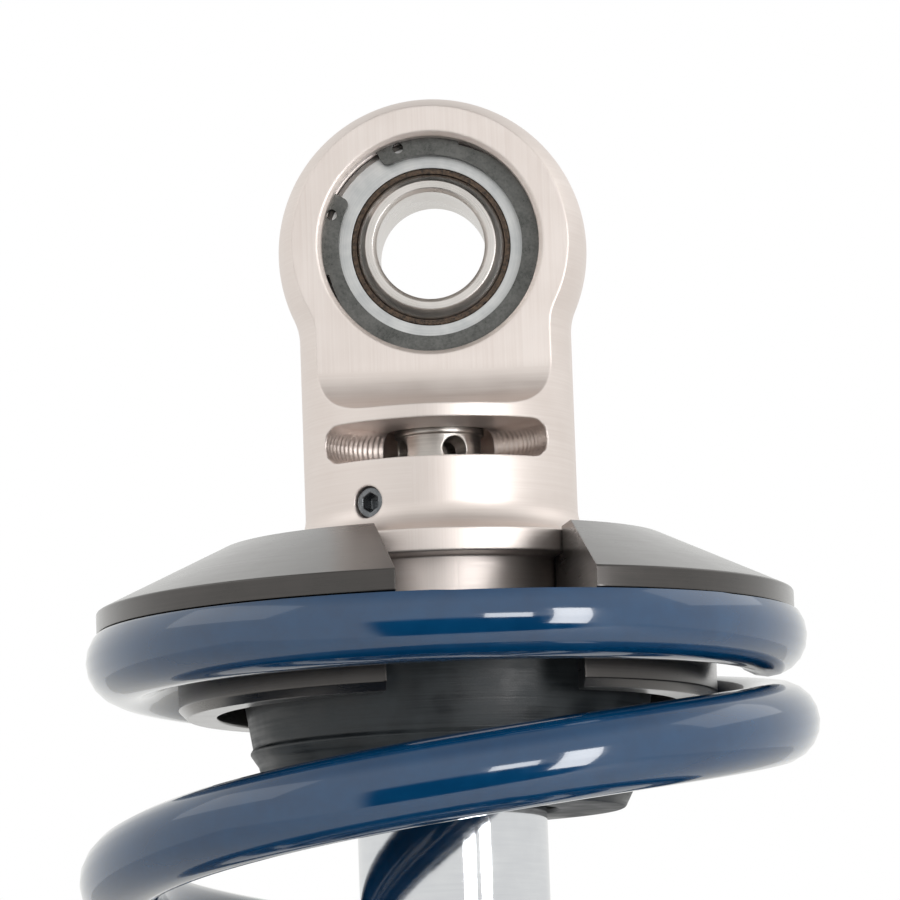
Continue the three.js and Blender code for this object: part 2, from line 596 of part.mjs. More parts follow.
// ---------------------------------------------------------------- spring
/** Depth of the wire's centre below the ground face, a number of turns from the tip. */
function coilDepth(turns) {
  const ramp = THREE.MathUtils.clamp((turns - CLOSED_TURNS) / RAMP_TURNS, 0, 1);
  const opened = Math.max(turns - CLOSED_TURNS - RAMP_TURNS, 0);
  const gained = RAMP_TURNS * (ramp ** 2 - ramp ** 3 / 3) + opened;
  return TIP_DEPTH + CLOSED_PITCH * turns + (SPRING_PITCH - CLOSED_PITCH) * gained;
}

/** Half the number of turns that make the spring its full length. */
function halfTurns() {
  let [low, high] = [CLOSED_TURNS, SPRING_LENGTH / CLOSED_PITCH];
  for (let i = 0; i < HALVINGS; i += 1) {
    const middle = (low + high) / 2;
    if (coilDepth(middle) < SPRING_LENGTH / 2) low = middle;
    else high = middle;
  }
  return low;
}

/** Centre of the wire, with the spring's ground faces at z = 0 and z = -SPRING_LENGTH. */
function wireCentre(turns, total) {
  const fromEnd = Math.min(turns, total - turns);
  const depth = turns < total / 2 ? coilDepth(turns) : SPRING_LENGTH - coilDepth(total - turns);
  const opened = THREE.MathUtils.smoothstep(fromEnd, CLOSED_TURNS, CLOSED_TURNS + RAMP_TURNS);
  const radius = THREE.MathUtils.lerp(END_COIL_RADIUS, BODY_COIL_RADIUS, opened);
  const angle = -2 * Math.PI * turns;
  return new THREE.Vector3(radius * Math.cos(angle), radius * Math.sin(angle), -depth);
}

/** Least distance between the surfaces of neighbouring coils, measured on points of the centre line. */
function leastCoilGap(centres) {
  let least = Infinity;
  const apart = Math.round(STEPS_PER_TURN / 2);
  for (let i = 0; i < centres.length; i += 1) {
    for (let j = i + apart; j < centres.length; j += 1) {
      least = Math.min(least, centres[i].distanceTo(centres[j]) - WIRE_DIAMETER);
    }
  }
  return least;
}

function spring() {
  const total = 2 * halfTurns();
  const steps = Math.ceil(total * STEPS_PER_TURN);
  const centres = [];
  for (let i = 0; i <= steps; i += 1) centres.push(wireCentre((total * i) / steps, total));
  const gap = leastCoilGap(centres);
  console.log(`spring: ${total.toFixed(2)} turns, least gap between coils ${gap.toFixed(2)} mm`);
  if (gap < LEAST_COIL_GAP) console.log('spring: the coils are too close');

  const positions = [];
  const index = [];
  centres.forEach((centre, i) => {
    const before = centres[Math.max(i - 1, 0)];
    const after = centres[Math.min(i + 1, steps)];
    const along = after.clone().sub(before).normalize();
    const outward = new THREE.Vector3(centre.x, centre.y, 0).normalize();
    outward.addScaledVector(along, -outward.dot(along)).normalize();
    const upward = new THREE.Vector3().crossVectors(along, outward);
    for (let side = 0; side < WIRE_SIDES; side += 1) {
      const angle = (2 * Math.PI * (side + 0.5)) / WIRE_SIDES;
      const point = centre.clone().addScaledVector(outward, wireRadius * Math.cos(angle));
      point.addScaledVector(upward, wireRadius * Math.sin(angle));
      positions.push(...point.toArray());
    }
  });
  for (let i = 0; i < steps; i += 1) {
    for (let side = 0; side < WIRE_SIDES; side += 1) {
      const a = i * WIRE_SIDES + side;
      const b = i * WIRE_SIDES + ((side + 1) % WIRE_SIDES);
      index.push(a, b, a + WIRE_SIDES, b, b + WIRE_SIDES, a + WIRE_SIDES);
    }
  }
  const last = steps * WIRE_SIDES;
  for (let side = 1; side < WIRE_SIDES - 1; side += 1) {
    index.push(0, side + 1, side, last, last + side, last + side + 1);
  }
  const geometry = new THREE.BufferGeometry();
  geometry.setAttribute('position', new THREE.Float32BufferAttribute(positions, 3));
  geometry.setIndex(index);

  const reach = BODY_COIL_RADIUS + WIRE_DIAMETER;
  const groundTop = block([-reach, -reach, 0], [reach, reach, WIRE_DIAMETER]);
  const groundEnd = block([-reach, -reach, -SPRING_LENGTH - WIRE_DIAMETER],
    [reach, reach, -SPRING_LENGTH]);
  return solidOf(geometry).subtract(groundTop).subtract(groundEnd);
}

// ---------------------------------------------------------------- shaft and piston stack
function shaft() {
  const bore = SHAFT_BORE / 2;
  const jet = JET_DIAMETER / 2;
  const tenon = TENON_DIAMETER / 2;
  const studTop = shaftTop + STUD_LENGTH;
  const stud = STUD_DIAMETER / 2;
  const whole = turned([[bore, studTop], [stud, studTop], [stud, shaftTop], [shaftRadius, shaftTop],
    [shaftRadius, stackTop], [tenon, stackTop], [tenon, shaftBottom], [jet, shaftBottom],
    [jet, shaftBottom + JET_LENGTH], [bore, shaftBottom + JET_LENGTH]], BODY_SEGMENTS, true);
  const portHeight = (stackTop + SEAT_GAP + BUMPER_HEIGHT + headBottom) / 2;
  const reach = shaftRadius + OVERCUT;
  return whole.subtract(radialPin(PORT_DIAMETER / 2, -reach, reach, 0, portHeight));
}

function meteringRod() {
  const top = EXTENDED_LENGTH + stemBottom - SEAT_GAP;
  const needle = NEEDLE_DIAMETER / 2;
  const radius = METERING_ROD_DIAMETER / 2;
  const tip = shaftBottom + JET_LENGTH - NEEDLE_REACH;
  const cone = tip + NEEDLE_LENGTH / 2 + ADJUSTER_TRAVEL;
  return turned([[0, tip], [needle / 2, tip], [needle, tip + NEEDLE_LENGTH / 2], [needle, cone],
    [radius, cone + radius - needle], [radius, top], [0, top]], SMALL_SEGMENTS);
}

/** Stack of thin discs, the widest against the piston. */
function shimStack(top, widestFirst) {
  const bore = TENON_DIAMETER / 2 + RUN_GAP;
  const outline = [[bore, top]];
  for (let i = 0; i < SHIM_STEPS; i += 1) {
    const rank = widestFirst ? i : SHIM_STEPS - 1 - i;
    const radius = SHIM_RADIUS - SHIM_TAPER * rank;
    outline.push([radius, top - i * SHIM_THICKNESS], [radius, top - (i + 1) * SHIM_THICKNESS]);
  }
  return turned([...outline, [bore, top - shimHeight]], INNER_SEGMENTS, true);
}

function piston() {
  const bore = TENON_DIAMETER / 2 + RUN_GAP;
  const bottom = pistonTop - PISTON_HEIGHT;
  const middle = (pistonTop + bottom) / 2;
  const bandHalf = PISTON_BAND_HEIGHT / 2 + SEAT_GAP;
  const groove = pistonRadius - PISTON_BAND_DEPTH;
  let whole = turned([[bore, bottom], [pistonRadius - PISTON_CHAMFER, bottom],
    [pistonRadius, bottom + PISTON_CHAMFER], [pistonRadius, middle - bandHalf],
    [groove, middle - bandHalf], [groove, middle + bandHalf], [pistonRadius, middle + bandHalf],
    [pistonRadius, pistonTop - PISTON_CHAMFER], [pistonRadius - PISTON_CHAMFER, pistonTop],
    [bore, pistonTop]], BODY_SEGMENTS, true);
  for (let i = 0; i < PISTON_PORTS; i += 1) {
    const port = new THREE.CylinderGeometry(PISTON_PORT_DIAMETER / 2, PISTON_PORT_DIAMETER / 2,
      PISTON_HEIGHT + 2 * OVERCUT, PORT_SEGMENTS);
    port.rotateX(Math.PI / 2).translate(PISTON_PORT_CIRCLE / 2, 0, middle);
    whole = whole.subtract(solidOf(port.rotateZ((2 * Math.PI * i) / PISTON_PORTS)));
  }
  return whole;
}

function pistonNut() {
  const corner = NUT_ACROSS_FLATS / Math.sqrt(3);
  const hexagon = new THREE.CylinderGeometry(corner, corner, NUT_HEIGHT, 6);
  hexagon.rotateX(Math.PI / 2).translate(0, 0, nutTop - NUT_HEIGHT / 2);
  const hole = TENON_DIAMETER / 2 + RUN_GAP;
  const bore = turned([[0, nutTop + OVERCUT], [hole, nutTop + OVERCUT],
    [hole, nutTop - NUT_HEIGHT - OVERCUT], [0, nutTop - NUT_HEIGHT - OVERCUT]], INNER_SEGMENTS);
  return solidOf(hexagon).subtract(bore);
}

// ---------------------------------------------------------------- body and seal head
function damperBody() {
  const grooveRadius = boreRadius + HEAD_CLIP_GROOVE_DEPTH;
  const grooveBottom = headShoulder;
  const grooveTop = grooveBottom + HEAD_CLIP_THICKNESS + 2 * SEAT_GAP;
  const plain = bodyRadius - THREAD_RELIEF;
  const threadStart = bodyBottom + BODY_CHAMFER;
  const threadTop = threadStart + THREAD_TURNS * THREAD_PITCH;
  const thread = [[bodyRadius, threadStart]];
  for (let i = 1; i <= THREAD_TURNS; i += 1) {
    thread.push([bodyRadius - THREAD_DEPTH, threadStart + (i - 0.5) * THREAD_PITCH],
      [bodyRadius, threadStart + i * THREAD_PITCH]);
  }
  return turned([[boreRadius, bodyBottom], [bodyRadius - BODY_CHAMFER, bodyBottom], ...thread,
    [plain, threadTop + THREAD_RELIEF], [plain, bodyTop - BODY_CHAMFER], [plain - BODY_CHAMFER, bodyTop],
    [boreRadius, bodyTop], [boreRadius, grooveTop], [grooveRadius, grooveTop],
    [grooveRadius, grooveBottom], [boreRadius, grooveBottom]], BODY_SEGMENTS, true);
}

const bushBottom = headBottom + HEAD_FLOOR;
const sealBottom = bushBottom + BUSH_LENGTH + 2 * SEAT_GAP;
const wiperBottom = sealBottom + SEAL_HEIGHT + 2 * SEAT_GAP;
const headRingHeight = headBottom + HEAD_HEIGHT / 2;

function sealHead() {
  const outer = boreRadius - SEAT_GAP;
  const throat = shaftRadius + HEAD_THROAT_GAP;
  const bushPocket = shaftRadius + BUSH_WALL + SEAT_GAP;
  const sealPocket = shaftRadius + SEAL_WALL + SEAT_GAP;
  const wiperPocket = shaftRadius + WIPER_WALL + SEAT_GAP;
  const grooveRadius = outer - ORING_GROOVE_DEPTH;
  const grooveHalf = ORING_SECTION / 2 + SEAT_GAP;
  const bossTop = headShoulder + HEAD_BOSS_HEIGHT;
  return turned([[throat, headBottom], [outer, headBottom], [outer, headRingHeight - grooveHalf],
    [grooveRadius, headRingHeight - grooveHalf], [grooveRadius, headRingHeight + grooveHalf],
    [outer, headRingHeight + grooveHalf], [outer, headShoulder], [HEAD_BOSS_RADIUS, headShoulder],
    [HEAD_BOSS_RADIUS, bossTop], [wiperPocket, bossTop], [wiperPocket, wiperBottom - SEAT_GAP],
    [sealPocket, wiperBottom - SEAT_GAP], [sealPocket, sealBottom - SEAT_GAP],
    [bushPocket, sealBottom - SEAT_GAP], [bushPocket, bushBottom - SEAT_GAP],
    [throat, bushBottom - SEAT_GAP]], BODY_SEGMENTS, true);
}

/** Wiper with a lip that rises round the shaft above the seal head. */
function wiperSeal() {
  const inner = shaftRadius + SEAT_GAP;
  const outer = shaftRadius + WIPER_WALL;
  const top = wiperBottom + WIPER_HEIGHT;
  return turned([[inner, wiperBottom], [outer, wiperBottom], [outer, top - WIPER_LIP],
    [inner + WIPER_LIP, top], [inner, top]], BODY_SEGMENTS, true);
}

/** O-ring with its widest point at the given radius. */
function oRing(outer, height) {
  const radius = ORING_SECTION / 2;
  const section = arc(outer - radius, height, radius, 0, 360, RING_STEPS).slice(0, -1);
  return turned(section, BODY_SEGMENTS, true);
}

/** Plain snap ring with its ends apart. */
function headClip() {
  const outer = boreRadius + HEAD_CLIP_GROOVE_DEPTH - SEAT_GAP;
  const low = headShoulder + SEAT_GAP;
  const high = low + HEAD_CLIP_THICKNESS;
  const gap = block([0, -HEAD_CLIP_GAP / 2, low - OVERCUT],
    [outer + OVERCUT, HEAD_CLIP_GAP / 2, high + OVERCUT], HEAD_CLIP_GAP_ANGLE);
  return ring(outer - HEAD_CLIP_WIDTH, outer, low, high, BODY_SEGMENTS).subtract(gap);
}

function floatingPiston() {
  const bottom = floatingTop - FLOATING_HEIGHT;
  const middle = bottom + FLOATING_HEIGHT / 2;
  const grooveRadius = pistonRadius - ORING_GROOVE_DEPTH;
  const grooveHalf = ORING_SECTION / 2 + SEAT_GAP;
  const dishTop = bottom + FLOATING_DISH_DEPTH;
  return turned([[0, dishTop], [FLOATING_DISH_RADIUS - FLOATING_DISH_DRAFT, dishTop],
    [FLOATING_DISH_RADIUS, bottom], [pistonRadius, bottom], [pistonRadius, middle - grooveHalf],
    [grooveRadius, middle - grooveHalf], [grooveRadius, middle + grooveHalf],
    [pistonRadius, middle + grooveHalf], [pistonRadius, floatingTop], [0, floatingTop]],
  BODY_SEGMENTS);
}

// ---------------------------------------------------------------- lower spring seat and collar
const lowerSeatBottom = springBottom - SEAT_GAP - LOWER_SEAT_HEIGHT;
const thrustWasherTop = lowerSeatBottom - SEAT_GAP;
const collarTop = thrustWasherTop - THRUST_WASHER_HEIGHT - SEAT_GAP;
const collarBottom = collarTop - COLLAR_HEIGHT;
const slidingBore = bodyRadius + RUN_GAP;

function lowerSpringSeat() {
  const top = lowerSeatBottom + LOWER_SEAT_HEIGHT;
  const pilotTop = top + LOWER_PILOT_HEIGHT;
  return turned([[slidingBore, lowerSeatBottom], [LOWER_SEAT_RADIUS, lowerSeatBottom],
    [LOWER_SEAT_RADIUS, top], [PILOT_RADIUS, top], [PILOT_RADIUS, pilotTop - PILOT_CHAMFER],
    [PILOT_RADIUS - PILOT_CHAMFER, pilotTop], [PILOT_RADIUS - LOWER_PILOT_WALL, pilotTop],
    [PILOT_RADIUS - LOWER_PILOT_WALL, top], [slidingBore, top]], EYE_SEGMENTS, true);
}

function preloadCollar() {
  const middle = (collarTop + collarBottom) / 2;
  const half = COLLAR_GROOVE_HEIGHT / 2;
  const groove = COLLAR_RADIUS - COLLAR_GROOVE_DEPTH;
  let whole = turned([[slidingBore, collarBottom], [COLLAR_RADIUS - COLLAR_CHAMFER, collarBottom],
    [COLLAR_RADIUS, collarBottom + COLLAR_CHAMFER], [COLLAR_RADIUS, middle - half],
    [groove, middle - half], [groove, middle + half], [COLLAR_RADIUS, middle + half],
    [COLLAR_RADIUS, collarTop - COLLAR_CHAMFER], [COLLAR_RADIUS - COLLAR_CHAMFER, collarTop],
    [slidingBore, collarTop]], EYE_SEGMENTS, true);
  for (let i = 0; i < COLLAR_NOTCHES; i += 1) {
    const notch = block([COLLAR_RADIUS - COLLAR_NOTCH_DEPTH, -COLLAR_NOTCH_WIDTH / 2,
      collarBottom - OVERCUT], [COLLAR_RADIUS + OVERCUT, COLLAR_NOTCH_WIDTH / 2, collarTop + OVERCUT],
    (360 * i) / COLLAR_NOTCHES);
    whole = whole.subtract(notch);
  }
  const screwHole = radialPin(COLLAR_SCREW_DIAMETER / 2 + SEAT_GAP, bodyRadius - OVERCUT,
    COLLAR_RADIUS + OVERCUT, COLLAR_SCREW_ANGLE, middle);
  return whole.subtract(screwHole);
}

// ---------------------------------------------------------------- lower eye cap and gas valve
const capTop = bodyBottom + CAP_SPIGOT_LENGTH;
const valveHeight = CAP_LENGTH - CAP_SHOULDER_HEIGHT / 2;
const capRingHeight = bodyBottom + CAP_SPIGOT_LENGTH / 2;
const valveSeat = bodyRadius - VALVE_LENGTH;

/** The eye of eyeProfile turned over, so that its neck runs up into the cap. */
function lowerEyeCap() {
  const shoulderBottom = CAP_LENGTH - CAP_SHOULDER_HEIGHT;
  const spigot = boreRadius - THREAD_GAP;
  const groove = spigot - ORING_GROOVE_DEPTH;
  const half = ORING_SECTION / 2 + SEAT_GAP;
  const flare = arc(NECK_RADIUS + CAP_FLARE_RADIUS, shoulderBottom - CAP_FLARE_RADIUS,
    CAP_FLARE_RADIUS, 180, 90, FLARE_STEPS);
  const blank = turned([...eyeProfile().map(([radius, z]) => [radius, -z]), ...flare,
    [bodyRadius - BODY_CHAMFER, shoulderBottom], [bodyRadius, shoulderBottom + BODY_CHAMFER],
    [bodyRadius, CAP_LENGTH], [spigot, CAP_LENGTH], [spigot, capRingHeight - half],
    [groove, capRingHeight - half], [groove, capRingHeight + half], [spigot, capRingHeight + half],
    [spigot, capTop], [0, capTop]], EYE_SEGMENTS);
  const valveHole = radialPin(VALVE_DIAMETER / 2 + SEAT_GAP, valveSeat - SEAT_GAP,
    bodyRadius + OVERCUT, VALVE_ANGLE, valveHeight);
  const passage = new THREE.CylinderGeometry(GAS_PASSAGE_DIAMETER / 2, GAS_PASSAGE_DIAMETER / 2,
    capTop - valveHeight + OVERCUT, SMALL_SEGMENTS);
  const passageRadius = valveSeat + GAS_PASSAGE_DIAMETER / 2;
  passage.rotateX(Math.PI / 2).translate(passageRadius, 0, (capTop + valveHeight + OVERCUT) / 2);
  return milledEye(blank, -1).subtract(valveHole)
    .subtract(solidOf(passage.rotateZ(radians(VALVE_ANGLE))));
}

/** Gas filling valve along X: its body in the cap, its stem standing out. */
function gasValve() {
  const stem = radialPin(VALVE_STEM_DIAMETER / 2, bodyRadius - VALVE_LENGTH / 2,
    bodyRadius + VALVE_CAP_LENGTH - VALVE_CAP_WALL - 2 * SEAT_GAP, 0, 0);
  const body = radialPin(VALVE_DIAMETER / 2, valveSeat + GAS_PASSAGE_DIAMETER + SEAT_GAP,
    bodyRadius, 0, 0);
  const core = radialPin(VALVE_CORE_DIAMETER / 2, bodyRadius - OVERCUT,
    bodyRadius + VALVE_CAP_LENGTH, 0, 0);
  return body.add(stem).subtract(core);
}

function gasValveCap() {
  const start = bodyRadius + SEAT_GAP;
  const whole = radialPin(VALVE_CAP_DIAMETER / 2, start, start + VALVE_CAP_LENGTH, 0, 0);
  const hollow = radialPin(VALVE_STEM_DIAMETER / 2 + SEAT_GAP, start - OVERCUT,
    start + VALVE_CAP_LENGTH - VALVE_CAP_WALL, 0, 0);
  return whole.subtract(hollow);
}

// ---------------------------------------------------------------- assembly
const strut = new THREE.Group();

const upperEnd = new THREE.Group();
upperEnd.position.z = EXTENDED_LENGTH;
bearingAt(upperEnd, 'upper');
upperEnd.add(meshOf('upper_eyelet', upperEyelet(), satinAnodised));
const lockScrew = setScrew(LOCK_SCREW_DIAMETER, LOCK_SCREW_SOCKET, STUD_DIAMETER / 2 + SEAT_GAP,
  NECK_RADIUS - LOCK_SCREW_RECESS);
const lockScrewMesh = meshOf('eyelet_lock_screw', lockScrew, blackOxide);
lockScrewMesh.position.z = -LOCK_SCREW_DEPTH;
lockScrewMesh.rotation.z = radians(LOCK_SCREW_ANGLE - 90);
upperEnd.add(lockScrewMesh);
upperEnd.add(meshOf('rebound_adjuster', reboundAdjuster(), polishedSteel));
upperEnd.add(meshOf('upper_spring_seat', upperSpringSeat(), gunmetalAnodised));
upperEnd.add(meshOf('bump_rubber', bumpRubber(), blackRubber));
strut.add(upperEnd);

const springMesh = meshOf('spring', spring(), blueCoat);
springMesh.position.z = springTop;
strut.add(springMesh);

strut.add(meshOf('shaft', shaft(), hardChrome));
strut.add(meshOf('metering_rod', meteringRod(), polishedSteel));
strut.add(meshOf('top_out_bumper', ring(shaftRadius + BUMP_BORE_GAP, BUMPER_RADIUS,
  stackTop + SEAT_GAP, stackTop + SEAT_GAP + BUMPER_HEIGHT, BODY_SEGMENTS), blackRubber));
strut.add(meshOf('top_out_washer', ring(TENON_DIAMETER / 2 + RUN_GAP, STACK_WASHER_RADIUS,
  stackTop - SEAT_GAP - STACK_WASHER_HEIGHT, stackTop - SEAT_GAP, INNER_SEGMENTS), polishedSteel));
strut.add(meshOf('compression_shims', shimStack(upperShimTop, false), polishedSteel));
strut.add(meshOf('piston', piston(), clearAnodised));
const bandMiddle = pistonTop - PISTON_HEIGHT / 2;
strut.add(meshOf('piston_band', ring(pistonRadius - PISTON_BAND_DEPTH + SEAT_GAP, boreRadius - SEAT_GAP,
  bandMiddle - PISTON_BAND_HEIGHT / 2, bandMiddle + PISTON_BAND_HEIGHT / 2, BODY_SEGMENTS), bronze));
strut.add(meshOf('rebound_shims', shimStack(lowerShimTop, true), polishedSteel));
strut.add(meshOf('piston_washer', ring(TENON_DIAMETER / 2 + RUN_GAP, STACK_WASHER_RADIUS,
  lowerWasherTop - STACK_WASHER_HEIGHT / 2, lowerWasherTop, INNER_SEGMENTS), polishedSteel));
strut.add(meshOf('piston_nut', pistonNut(), polishedSteel));

strut.add(meshOf('damper_body', damperBody(), clearAnodised));
strut.add(meshOf('seal_head', sealHead(), clearAnodised));
strut.add(meshOf('shaft_bush', ring(shaftRadius + SEAT_GAP, shaftRadius + BUSH_WALL,
  bushBottom, bushBottom + BUSH_LENGTH, BODY_SEGMENTS), bronze));
strut.add(meshOf('shaft_seal', ring(shaftRadius + SEAT_GAP, shaftRadius + SEAL_WALL,
  sealBottom, sealBottom + SEAL_HEIGHT, BODY_SEGMENTS), blackRubber));
strut.add(meshOf('wiper_seal', wiperSeal(), blackRubber));
strut.add(meshOf('seal_head_oring', oRing(boreRadius - SEAT_GAP / 2, headRingHeight), blackRubber));
strut.add(meshOf('seal_head_retaining_ring', headClip(), blackPhosphate));
strut.add(meshOf('floating_piston', floatingPiston(), clearAnodised));
strut.add(meshOf('floating_piston_oring',
  oRing(boreRadius - SEAT_GAP / 2, floatingTop - FLOATING_HEIGHT / 2), blackRubber));

strut.add(meshOf('lower_spring_seat', lowerSpringSeat(), gunmetalAnodised));
strut.add(meshOf('thrust_washer', ring(slidingBore, THRUST_WASHER_RADIUS,
  thrustWasherTop - THRUST_WASHER_HEIGHT, thrustWasherTop, EYE_SEGMENTS), blackNylon));
strut.add(meshOf('preload_collar', preloadCollar(), gunmetalAnodised));
const collarScrew = meshOf('collar_lock_screw', setScrew(COLLAR_SCREW_DIAMETER, COLLAR_SCREW_SOCKET,
  slidingBore, COLLAR_RADIUS - COLLAR_GROOVE_DEPTH - LOCK_SCREW_RECESS), blackOxide);
collarScrew.position.z = (collarTop + collarBottom) / 2;
collarScrew.rotation.z = radians(COLLAR_SCREW_ANGLE);
strut.add(collarScrew);

const lowerEnd = new THREE.Group();
bearingAt(lowerEnd, 'lower');
lowerEnd.add(meshOf('lower_eye_cap', lowerEyeCap(), satinAnodised));
lowerEnd.add(meshOf('lower_cap_oring', oRing(boreRadius - SEAT_GAP / 2, capRingHeight), blackRubber));
for (const [name, solid, material] of [['gas_valve', gasValve(), polishedSteel],
  ['gas_valve_cap', gasValveCap(), blackOxide]]) {
  const piece = meshOf(name, solid, material);
  piece.position.z = valveHeight;
  piece.rotation.z = radians(VALVE_ANGLE);
  lowerEnd.add(piece);
}
strut.add(lowerEnd);

export default strut;
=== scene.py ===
"""Looks of a coil-over damper strut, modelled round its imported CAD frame.

Sizes are millimetres in the sub-assemblies' fields and metres in Blender. The strut stands along Z
with its lower bearing at the origin, and its bearing bores run along Y. Sizes of the upper end are
depths below its bearing's centre.
"""
from __future__ import annotations

import json
import logging
import math
from contextlib import contextmanager
from dataclasses import dataclass
from enum import Enum
from typing import Any, Iterator, Sequence

import bpy
from mathutils import Matrix, Vector

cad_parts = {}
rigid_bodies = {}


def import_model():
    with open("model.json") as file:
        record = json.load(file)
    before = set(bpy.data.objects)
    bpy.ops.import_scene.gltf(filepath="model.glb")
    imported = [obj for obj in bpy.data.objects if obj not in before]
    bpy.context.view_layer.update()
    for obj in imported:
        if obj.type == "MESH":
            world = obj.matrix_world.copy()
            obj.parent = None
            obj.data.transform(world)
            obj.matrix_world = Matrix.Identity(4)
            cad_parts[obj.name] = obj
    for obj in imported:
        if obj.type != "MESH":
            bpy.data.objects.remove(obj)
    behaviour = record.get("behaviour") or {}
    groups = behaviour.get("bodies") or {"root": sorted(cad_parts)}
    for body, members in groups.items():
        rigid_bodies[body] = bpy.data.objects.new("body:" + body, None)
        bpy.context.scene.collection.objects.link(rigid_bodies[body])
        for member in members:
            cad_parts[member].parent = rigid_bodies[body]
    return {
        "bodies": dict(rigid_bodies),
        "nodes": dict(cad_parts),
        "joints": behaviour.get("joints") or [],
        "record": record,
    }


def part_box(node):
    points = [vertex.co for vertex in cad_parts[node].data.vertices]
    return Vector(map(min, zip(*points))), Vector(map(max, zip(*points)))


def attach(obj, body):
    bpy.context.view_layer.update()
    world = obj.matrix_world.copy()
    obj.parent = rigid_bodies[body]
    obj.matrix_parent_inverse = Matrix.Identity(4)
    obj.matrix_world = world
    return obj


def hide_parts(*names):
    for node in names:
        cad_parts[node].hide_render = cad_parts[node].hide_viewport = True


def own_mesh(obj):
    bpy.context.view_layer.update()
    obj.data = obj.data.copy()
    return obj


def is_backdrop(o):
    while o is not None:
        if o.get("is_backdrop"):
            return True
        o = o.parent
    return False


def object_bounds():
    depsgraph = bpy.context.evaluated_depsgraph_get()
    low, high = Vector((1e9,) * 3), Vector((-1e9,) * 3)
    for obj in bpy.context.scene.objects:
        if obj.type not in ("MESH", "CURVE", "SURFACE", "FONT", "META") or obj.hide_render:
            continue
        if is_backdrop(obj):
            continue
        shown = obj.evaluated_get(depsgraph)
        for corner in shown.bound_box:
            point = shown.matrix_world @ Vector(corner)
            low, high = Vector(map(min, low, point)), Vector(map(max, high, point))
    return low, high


MM = 0.001
NIL = 1e-6  # a length below this is none
FRONT = -90.0  # degrees from +X, the side with the adjuster window
CLEARANCE = 0.1  # millimetres round a piece in its hole or groove
PAST = 1.0  # millimetres that a cutter stands past what it cuts
ORIGIN = Vector((0, 0, 0)).freeze()
MIRROR = 0.02  # least roughness of a finish
NOISE_LOW, NOISE_HIGH = 0.38, 0.62  # the span that most of a finish's noise keeps to
SQUARE_ON = 0.97  # least square of the normal's Y on a flat that faces along the bores
LOG = logging.getLogger("strut")

Point = tuple[float, float]
Profile = list[Point]
Piece = bpy.types.Object


class Axis(Enum):
    """Direction that a turned piece is turned about."""

    Y = (0, 1, 0)
    Z = (0, 0, 1)


# --- modelling
def activate(obj: Piece) -> None:
    """Makes obj the only selected object and the active one."""
    bpy.ops.object.select_all(action="DESELECT")
    obj.hide_set(False)
    obj.select_set(True)
    bpy.context.view_layer.objects.active = obj


@contextmanager
def editing() -> Iterator[None]:
    """Edit mode on the active object with its whole mesh selected, and object mode after."""
    bpy.ops.object.mode_set(mode="EDIT")
    bpy.ops.mesh.select_all(action="SELECT")
    yield
    bpy.ops.object.mode_set(mode="OBJECT")


def polar(radius: float, angle: float) -> Point:
    """A point by its radius and its angle in degrees."""
    a = math.radians(angle)
    return radius * math.cos(a), radius * math.sin(a)


def radial(angle: float, radius: float, height: float = 0.0) -> Vector:
    """A point by its angle from +X in degrees, and radius and height in millimetres, in metres."""
    return Vector((*polar(radius, angle), height)) * MM


def arc(x: float, y: float, radius: float, start: float, end: float, steps: int) -> Profile:
    """Points of an arc round (x, y), both ends included, with its angles in degrees."""
    turns = [polar(radius, start + (end - start) * i / steps) for i in range(steps + 1)]
    return [(x + across, y + up) for across, up in turns]


def stepped(*steps: float) -> Profile:
    """A closed profile of square steps, from the radii and heights that it takes in turn."""
    radii, heights = steps[::2], steps[1::2]
    after = [*radii[1:], radii[0]]
    return [(r, h) for pair, h in zip(zip(radii, after), heights) for r in pair]


def mirrored(profile: Profile) -> Profile:
    """The profile mirrored about the height 0, and walked the other way."""
    return [(r, -h) for r, h in reversed(profile)]


def smoothstep(value: float) -> float:
    """0 up to 0 and 1 from 1, with a smooth rise between."""
    value = min(max(value, 0), 1)
    return value * value * (3 - 2 * value)


def eased(profile: Profile, radius: float, steps: int = 3) -> Profile:
    """Rounds the corners of a closed profile, as a deburred edge is.

    Args:
        profile: (radius, height) points in millimetres.
        radius: of each rounding.
        steps: chords in each rounding.

    Returns:
        The profile with its sharp corners replaced by short curves.
    """
    slight, share = math.radians(20), 0.45
    result: Profile = []
    for i, corner in enumerate(profile):
        here = Vector(corner)
        before = Vector(profile[i - 1]) - here
        after = Vector(profile[(i + 1) % len(profile)]) - here
        shorter = min(before.length, after.length)
        bend = math.pi - before.angle(after) if min(here.x, shorter) >= NIL else 0
        if bend < slight:
            result.append(corner)
            continue
        reach = min(radius * math.tan(bend / 2), share * shorter)
        start = here + before.normalized() * reach
        end = here + after.normalized() * reach
        for step in range(steps + 1):
            t = step / steps
            point = start * (1 - t) ** 2 + here * (2 * t * (1 - t)) + end * t**2
            result.append((point.x, point.y))
    return result


def outline(name: str, points: Sequence[Vector]) -> Piece:
    """A closed loop of edges through the points, shaped from a circle primitive."""
    bpy.ops.object.select_all(action="DESELECT")
    bpy.ops.mesh.primitive_circle_add(vertices=len(points), radius=1.0)
    obj = bpy.context.object
    obj.name = name
    obj.data.name = name
    for vertex, point in zip(obj.data.vertices, points):
        vertex.co = point
    return obj


def tidy_shell() -> None:
    """In edit mode, closes poles and seams and turns the faces outwards."""
    bpy.ops.mesh.select_all(action="SELECT")
    bpy.ops.mesh.remove_doubles(threshold=NIL)
    bpy.ops.mesh.delete_loose()
    bpy.ops.mesh.select_all(action="SELECT")
    bpy.ops.mesh.normals_make_consistent(inside=False)


